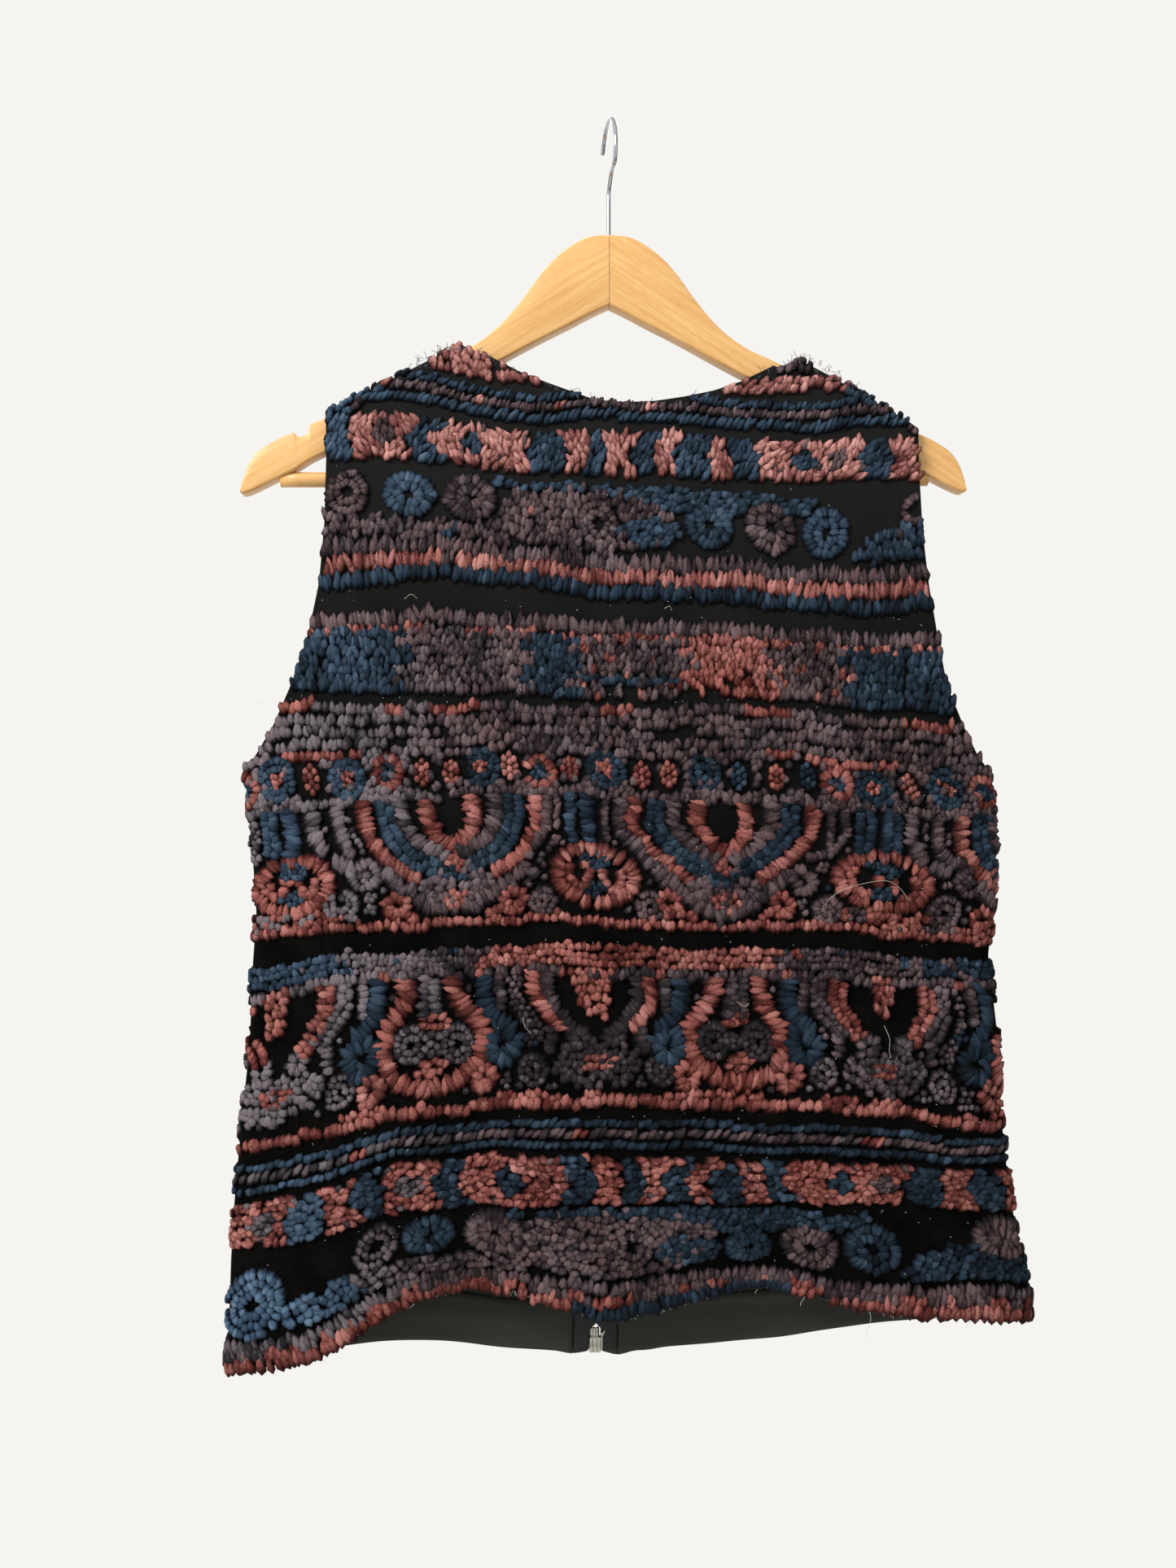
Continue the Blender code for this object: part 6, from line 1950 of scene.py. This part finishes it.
# A tooth from its head to its foot: half height, sideways from the zip's middle, half thickness
TOOTH_SECTIONS = (
    (0.45, -0.55, 0.75),
    (0.75, 0.1, 1.25),
    (0.62, 1.3, 1.3),
    (0.95, 2.0, 1.45),
    (0.9, 3.6, 1.45),
    (0.6, 3.95, 1.1),
)
FIRST_TOOTH, LAST_TOOTH = 1.4, 0.8  # from the rows' ends to the first and the last tooth
BLOCK_HIGH = 6.2  # of the ribbed block above the box
BLOCK_ASIDE = -0.5
TAPE_FOOT = 2.2  # from the box's foot up to the tapes' ends
# Half the opening between the tapes: beside the box, beside the block, under the teeth
BESIDE_BOX, BESIDE_BLOCK, UNDER_TEETH = BOX_SIZE[0] / 2 + 0.2, 3.4, 0.5


def build_zip(finishes):
    """Tapes inside the fronts' edges and two rows of moulded-on metal teeth, meshed to the top."""
    foot_u = u_of_x(ZIP_FOOT_X, HEM_LEVEL)
    foot = lookup_rows(foot_u, 0.0, True)[0] - hem_lobes(foot_u)
    box_top = foot + BOX_SIZE[2]
    slider_z = VEE_BOTTOM - STOP_DROP - STOP_SIZE[2] - GAP - SLIDER_SIZE[2] / 2
    teeth_top = slider_z - SLIDER_SIZE[2] / 2 - GAP
    for side, word in SIDES:
        z = np.linspace(foot + TAPE_FOOT, VEE_BOTTOM, 180)[:, None]
        inner = np.where(z < box_top + GAP, BESIDE_BOX, BESIDE_BLOCK)
        inner = np.where(z < box_top + BLOCK_HIGH + 0.4, inner, UNDER_TEETH)
        offsets = inner + (ZIP_HALF + TAPE_REACH - inner) * np.linspace(0, 1, 7)
        u = u_of_x(zip_x(z) + side * offsets, z)
        skins = [laid(u, z, rise, True) for rise in TAPE_RISES]
        tape = shell("tape_" + word, *skins, [finishes["tape"]] * 2, flip=side > 0)
        place_piece(tape, "zip_tape_" + word)
        teeth_z = np.arange(box_top + TEETH_START + FIRST_TOOTH, teeth_top - 1.0, TOOTH_PITCH)
        teeth_z = teeth_z + (0.5 * TOOTH_PITCH if side > 0 else 0)
        teeth = build_teeth("teeth_" + word, teeth_z[teeth_z < teeth_top - LAST_TOOTH], side)
        teeth.data.materials.append(finishes["nickel"])
        place_piece(teeth, "zip_teeth_" + word)


def build_teeth(name, z, side):
    """Each tooth grips the tape's edge with a wide foot and narrows to a head in the middle."""
    tall, over, deep = np.array(TOOTH_SECTIONS)[:, None].T
    corner = np.array([(-1, -1), (1, -1), (1, 1), (-1, 1)], float)
    rows = len(TOOTH_SECTIONS)
    local = np.stack([
        np.repeat(over.T * side, 4, axis=1), deep.T * corner[:, 1] + TOOTH_LIFT, tall.T * corner[:, 0],
    ], axis=-1).reshape(-1, 3)
    points = laid(u_of_x(zip_x(z), z), z, 0.0, True)[:, None] + local
    first = np.arange(4)
    caps = np.array([first, rows * 4 - 1 - first])
    faces = np.concatenate([grid_quads(rows, 4, wrap=True), caps])
    if side < 0:
        faces = faces[:, ::-1]
    return make_mesh(name, points.reshape(-1, 3), join_copies(rows * 4, faces, len(z)), [], smooth=False)


BOX_ROUNDING = 0.3  # power of the box's round-cornered outline
RIB_DEPTH, GROOVE_AT, GROOVE_WIDE = 0.26, 0.36, 0.1  # as shares of the box's half depth and half width
# The pin's sleeve: name, places aside and up, radii
SLEEVE = (
    ("stem", ((0, 0.9 - BOX_SIZE[2]), (0, -3.0), (0, 0.0), (0, 0.6)), (0.6, 0.7, 0.75, 0.5)),
    ("fork_left", ((0.1, 0.0), (-0.4, 1.2), (-0.9, 2.5), (-1.1, 3.3)), (0.4, 0.7, 0.65, 0.2)),
    ("fork_right", ((-0.1, 0.0), (0.6, 1.2), (1.4, 2.8), (1.8, 3.8)), (0.4, 0.7, 0.65, 0.2)),
)
SLEEVE_ASIDE, SLEEVE_IN, SLEEVE_UP = 0.55, 2.55, 0.7  # from the box's flank, middle and top


def rounded(share):
    """A sine or cosine bent towards the corners of a round-cornered rectangle."""
    return np.sign(share) * np.abs(share) ** BOX_ROUNDING


def box_outline():
    """The box's outline as shares, with its points close together along the two ribbed faces."""
    face_x = np.linspace(0.97, -0.97, 40)
    face = np.arccos(np.sign(face_x) * np.abs(face_x) ** (1 / BOX_ROUNDING))
    flank_y = np.linspace(0.7, -0.7, 5)
    flank = math.pi - np.arcsin(np.sign(flank_y) * np.abs(flank_y) ** (1 / BOX_ROUNDING))
    angle = np.concatenate([face, flank, face + math.pi, flank + math.pi])
    x, y = rounded(np.cos(angle)), rounded(np.sin(angle))
    # Two grooves down each face leave three ribs
    groove = np.exp(-(((np.abs(x) - GROOVE_AT) / GROOVE_WIDE) ** 2)) * (np.abs(y) > 0.8)
    return x, y, 1 - RIB_DEPTH * groove


def build_zip_box(finish):
    """The retaining box with its pressed ribs, and the ribbed block above it that holds the fixed row."""
    low, high = (np.array(corner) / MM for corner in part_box("zip_box"))
    middle = (low + high) / 2
    wide, deep, top = BOX_SIZE[0] / 2, BOX_SIZE[1] / 2, BOX_SIZE[2]
    # height above the foot, half width, half depth, how far inwards, aside
    levels = (
        (0.0, wide - 0.4, deep - 0.5, 0.6, 0.0),
        (0.4, wide, deep, 0.6, 0.0),
        (top - 0.3, wide, deep, 0.6, 0.0),
        (top, wide - 0.3, deep - 0.3, 0.6, 0.0),
        (top + 0.05, 2.35, 2.2, 1.0, BLOCK_ASIDE),
        (top + BLOCK_HIGH - 0.4, 2.35, 2.2, 1.0, BLOCK_ASIDE),
        (top + BLOCK_HIGH, 2.0, 1.8, 1.0, BLOCK_ASIDE),
    )
    x, y, ribs = box_outline()
    rings = []
    for up, half_wide, half_deep, inward, aside in levels:
        across = middle[0] + aside + half_wide * x
        outward = middle[1] - inward + half_deep * y * ribs
        rings.append(np.stack([across, outward, np.full(len(x), low[2] + up)], axis=-1))
    points, faces = closed_tube(np.stack(rings))
    place_piece(make_mesh("zip_box_cover", points, faces, [finish]), "zip_box")
    # The pin's sleeve on the other tape: a thin stem beside the box that forks above it
    start = np.array([middle[0] + wide + SLEEVE_ASIDE, middle[1] - SLEEVE_IN, low[2] + top + SLEEVE_UP])
    for name, places, radii in SLEEVE:
        aside, up = smooth_path(places, 0.35).T
        path = start + np.stack([aside, np.zeros(len(up)), up], axis=-1)
        radius = np.interp(np.linspace(0, 1, len(path)), np.linspace(0, 1, 4), radii)
        points, faces = closed_tube(tube_grid(path, radius, 12))
        place_piece(make_mesh("zip_pin_" + name, points, faces, [finish]))


# Hanger

ARM_SIDES = 40  # points round an arm's section
END_FLAT = 0.03  # from an arm's end to a ring that keeps its end flat
ARM_SLOPE = math.radians(32.0)  # the grain's, from level
HOOK_LOOP, HOOK_SQUEEZE = 21.5, 0.92  # the loop's radius up and down, and its width as a share of that
# The wire below the loop: out and z
HOOK_STEM = (
    (0.0, -89.0), (0.0, -80.0), (0.0, -70.0), (0.0, -60.0), (0.0, -52.0), (0.0, -46.0),
    (0.6, -41.5), (3.6, -37.6), (9.0, -33.4),
)


def tilted(points):
    """Raises points of the hanger's own frame along its slope, as it hangs."""
    return points + points[..., :1] * (0.0, 0.0, HANGER_TILT)


def corner_places(mesh):
    """x, y and z of every face corner's point."""
    places = np.zeros(len(mesh.vertices) * 3)
    mesh.vertices.foreach_get("co", places)
    corners = np.zeros(len(mesh.loops), np.int32)
    mesh.loops.foreach_get("vertex_index", corners)
    return places.reshape(-1, 3)[corners].T


def lay_grain(mesh, along, across):
    """UV in metres: first along the grain, second square to it and on round the thickness."""
    layer = mesh.uv_layers.new(name="grain")
    layer.data.foreach_set("uv", np.stack([along, across], axis=-1).ravel())


def build_arm(side, word, finish):
    """Half a hanger: a flat-sided section with well rounded edges, carried out along the arm."""
    keys = column(ARM_SECTIONS, 0)
    notch = column(ARM_NOTCH, 0)
    ends = keys[[0, -1]] + (END_FLAT, -END_FLAT)
    rings_at = [np.linspace(keys[0], keys[-1], 120), keys, ends, notch, notch[:-1] + 0.3]
    out = np.unique(np.concatenate(rings_at))
    high = smooth_lookup(out, keys, column(ARM_SECTIONS, 1))
    low = smooth_lookup(out, keys, column(ARM_SECTIONS, 2))
    in_notch = (out > notch[0]) & (out < notch[-1])
    high = np.where(in_notch, np.minimum(high, lookup(out, ARM_NOTCH)), high)
    half_high = ((high - low) / 2)[:, None]
    angle = np.linspace(0, 2 * math.pi, ARM_SIDES, endpoint=False)
    radius = np.minimum(ARM_EDGE, half_high - 0.3)
    y = np.sign(np.round(np.cos(angle), 9)) * (ARM_THICK / 2 - radius) + radius * np.cos(angle)
    z = np.sign(np.round(np.sin(angle), 9)) * (half_high - radius) + radius * np.sin(angle)
    x = np.repeat(side * out[:, None], ARM_SIDES, axis=1)
    rings = tilted(np.stack([x, y, z + ((high + low) / 2)[:, None]], axis=-1))
    points, faces = closed_tube(rings)
    if side < 0:
        faces = [group[:, ::-1] for group in faces]
    arm = make_mesh("arm_" + word, points, faces, [finish])
    smooth = np.ones(len(arm.data.polygons), bool)
    smooth[-2 * ARM_SIDES:] = False  # the two ends are flat
    arm.data.polygons.foreach_set("use_smooth", smooth)
    x, y, z = corner_places(arm.data)
    along = side * x * math.cos(ARM_SLOPE) - z * math.sin(ARM_SLOPE)
    across = side * x * math.sin(ARM_SLOPE) + z * math.cos(ARM_SLOPE) + 0.6 * y
    lay_grain(arm.data, along + side, across)
    place_piece(arm, "hanger_arm_" + word)


def hook_route():
    """Up the stem, out to the back of the loop, over its top and down to the tip. Out and z."""
    angles = np.radians(np.arange(-28, 160, 13))
    out = HOOK_LOOP * np.cos(angles) * HOOK_SQUEEZE
    z = WIRE - HOOK_LOOP + HOOK_LOOP * np.sin(angles)
    return np.concatenate([HOOK_STEM, np.stack([out, z], axis=-1)])


def build_hanger(finishes):
    for side, word in SIDES:
        build_arm(side, word, finishes["wood"])
    reach = BAR_REACH - GAP
    path = np.stack([np.linspace(-reach, reach, 40), np.zeros(40), np.full(40, BAR_Z)], axis=-1)
    points, faces = closed_tube(tube_grid(tilted(path), BAR_RADIUS, 28))
    bar = make_mesh("bar", points, faces, [finishes["wood"]])
    x, y, z = corner_places(bar.data)
    lay_grain(bar.data, x, z + 0.7 * y)
    place_piece(bar, "hanger_bar")
    out, z = smooth_path(hook_route(), 1.1).T
    route = np.stack([out * math.cos(HOOK_TURN), -out * math.sin(HOOK_TURN), z], axis=-1)
    points, faces = closed_tube(tube_grid(route, WIRE, 18))
    hook = make_mesh("hook", points, faces, [finishes["chrome"]])
    place_piece(hook, "hanger_hook")


# Stage

CAMERA_DISTANCE = 800.0
CAMERA_HEIGHT = -405.0
CAMERA_TURN = math.asin(0.06)
CAMERA_ASIDE = -12.7
CAMERA_LENS, CAMERA_SENSOR = 39.9, 36.0
FLOOR = -1.95  # the hook hangs at a rail's usual height
FLOOR_HALF = 1.3
LIGHT_FROM = (-0.62, -0.52, 0.59)
ROOM_DIM = 0.22  # the room's dimmest part, as a share of its brightest
# Lamps: name, place and target in metres, size, watts
LAMPS = (
    ("key", (-1.35, -1.3, 0.95), (0, 0, -0.4), 0.8, 45),
    ("fill", (1.6, -1.6, 0.0), (0, 0, -0.4), 1.6, 4),
    ("behind", (0.3, 1.8, 0.6), (0, 0, -0.4), 1.4, 14),
)


def light_room():
    """Pale behind the vest and towards the key light, dimmer low down and to the right, all soft."""
    world = bpy.data.worlds.new("soft_room")
    world.use_nodes = True
    tree = world.node_tree
    place = add_node(tree, "ShaderNodeTexCoord")
    glow = add_node(
        tree, "ShaderNodeVectorMath", {"operation": "DOT_PRODUCT", 1: LIGHT_FROM},
        {0: place.outputs["Generated"]},
    )
    glow_part = add_node(
        tree, "ShaderNodeMapRange", {"From Min": -0.35, "From Max": 0.85, "To Min": ROOM_DIM, "To Max": 1.0},
        {"Value": glow.outputs["Value"]},
    )
    sides = add_node(tree, "ShaderNodeSeparateXYZ", links={"Vector": place.outputs["Generated"]})
    back_part = add_node(
        tree, "ShaderNodeMapRange", {"From Min": 0.1, "From Max": 0.6, "To Min": ROOM_DIM, "To Max": 1.0},
        {"Value": sides.outputs["Y"]},
    )
    larger = add_node(tree, "ShaderNodeMath", {"operation": "MAXIMUM"}, {0: glow_part, 1: back_part})
    backdrop = tree.nodes["Background"]
    backdrop.inputs["Color"].default_value = linear("#f6f4f0")
    wire(tree, backdrop, {"Strength": larger})
    bpy.context.scene.world = world


def build_stage():
    plain = new_material("plain_floor", Base_Color=linear("#dedbd5"), Roughness=0.9)[0]
    corners = [(x * FLOOR_HALF, y * FLOOR_HALF, FLOOR) for x, y in ((-1, -1), (1, -1), (1, 1), (-1, 1))]
    make_mesh("floor", np.array(corners) / MM, np.array([[0, 1, 2, 3]]), [plain])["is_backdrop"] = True
    light_room()
    # A plain transform keeps the pale room and the varnish as bright as they are
    bpy.context.scene.view_settings.view_transform = "Standard"
    for name, place, target, size, power in LAMPS:
        lamp = bpy.data.lights.new(name, "AREA")
        lamp.size = size
        lamp.energy = power
        thing = bpy.data.objects.new(name, lamp)
        thing.location = place
        thing.rotation_mode = "QUATERNION"
        thing.rotation_quaternion = (Vector(target) - Vector(place)).to_track_quat("-Z", "Y")
        bpy.context.scene.collection.objects.link(thing)


def build_camera():
    """Level, at the height of the vest's middle, turned a little from square on to the back."""
    right = np.array([math.cos(CAMERA_TURN), -math.sin(CAMERA_TURN)])
    ahead = np.array([math.sin(CAMERA_TURN), math.cos(CAMERA_TURN)])
    x, y = (right * CAMERA_ASIDE - ahead * CAMERA_DISTANCE) * MM
    lens = bpy.data.cameras.new("camera")
    lens.sensor_fit = "HORIZONTAL"
    lens.sensor_width = CAMERA_SENSOR
    lens.lens = CAMERA_LENS
    thing = bpy.data.objects.new("camera", lens)
    thing.location = (x, y, CAMERA_HEIGHT * MM)
    thing.rotation_euler = (math.pi / 2, 0, -CAMERA_TURN)
    bpy.context.scene.collection.objects.link(thing)
    bpy.context.scene.camera = thing


def finish_kept_nodes(frame, finishes):
    """The zip's solid metal parts keep their shape and get their finish."""
    for name in ("zip_pin", "zip_slider", "zip_pull_tab", "zip_stop_left", "zip_stop_right"):
        mesh = frame["nodes"][name].data
        mesh.materials.clear()
        mesh.materials.append(finishes["nickel"])


def write_size(key, sizes):
    low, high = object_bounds()
    sizes[key] = [list(map(float, low)), list(map(float, high))]


def main():
    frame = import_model()
    sizes = {}
    write_size("cad", sizes)
    finishes = {
        "rose": yarn_material("rust_rose_yarn", *YARN_TONES[ROSE]),
        "mauve": yarn_material("mauve_yarn", *YARN_TONES[MAUVE]),
        "blue": yarn_material("denim_blue_yarn", *YARN_TONES[BLUE]),
        "ground": ground_material(),
        "backing": jersey_material(),
        "tape": tape_material(),
        "nickel": nickel_material(),
        "chrome": chrome_material(),
        "wood": wood_material(),
        "pale_thread": thread_material("pale_thread", "#cfc8bd"),
        "silver_thread": thread_material("silver_grey_fibre", "#a9adb0"),
        "mauve_thread": thread_material("mauve_fibre", "#5d4f57"),
        "blue_thread": thread_material("blue_fibre", "#31475f"),
    }
    build_cloth(finishes)
    build_facings(finishes)
    build_fibres(finishes)
    build_zip(finishes)
    build_zip_box(finishes["nickel"])
    build_hanger(finishes)
    finish_kept_nodes(frame, finishes)
    build_stage()
    build_camera()
    write_size("visual", sizes)


main()
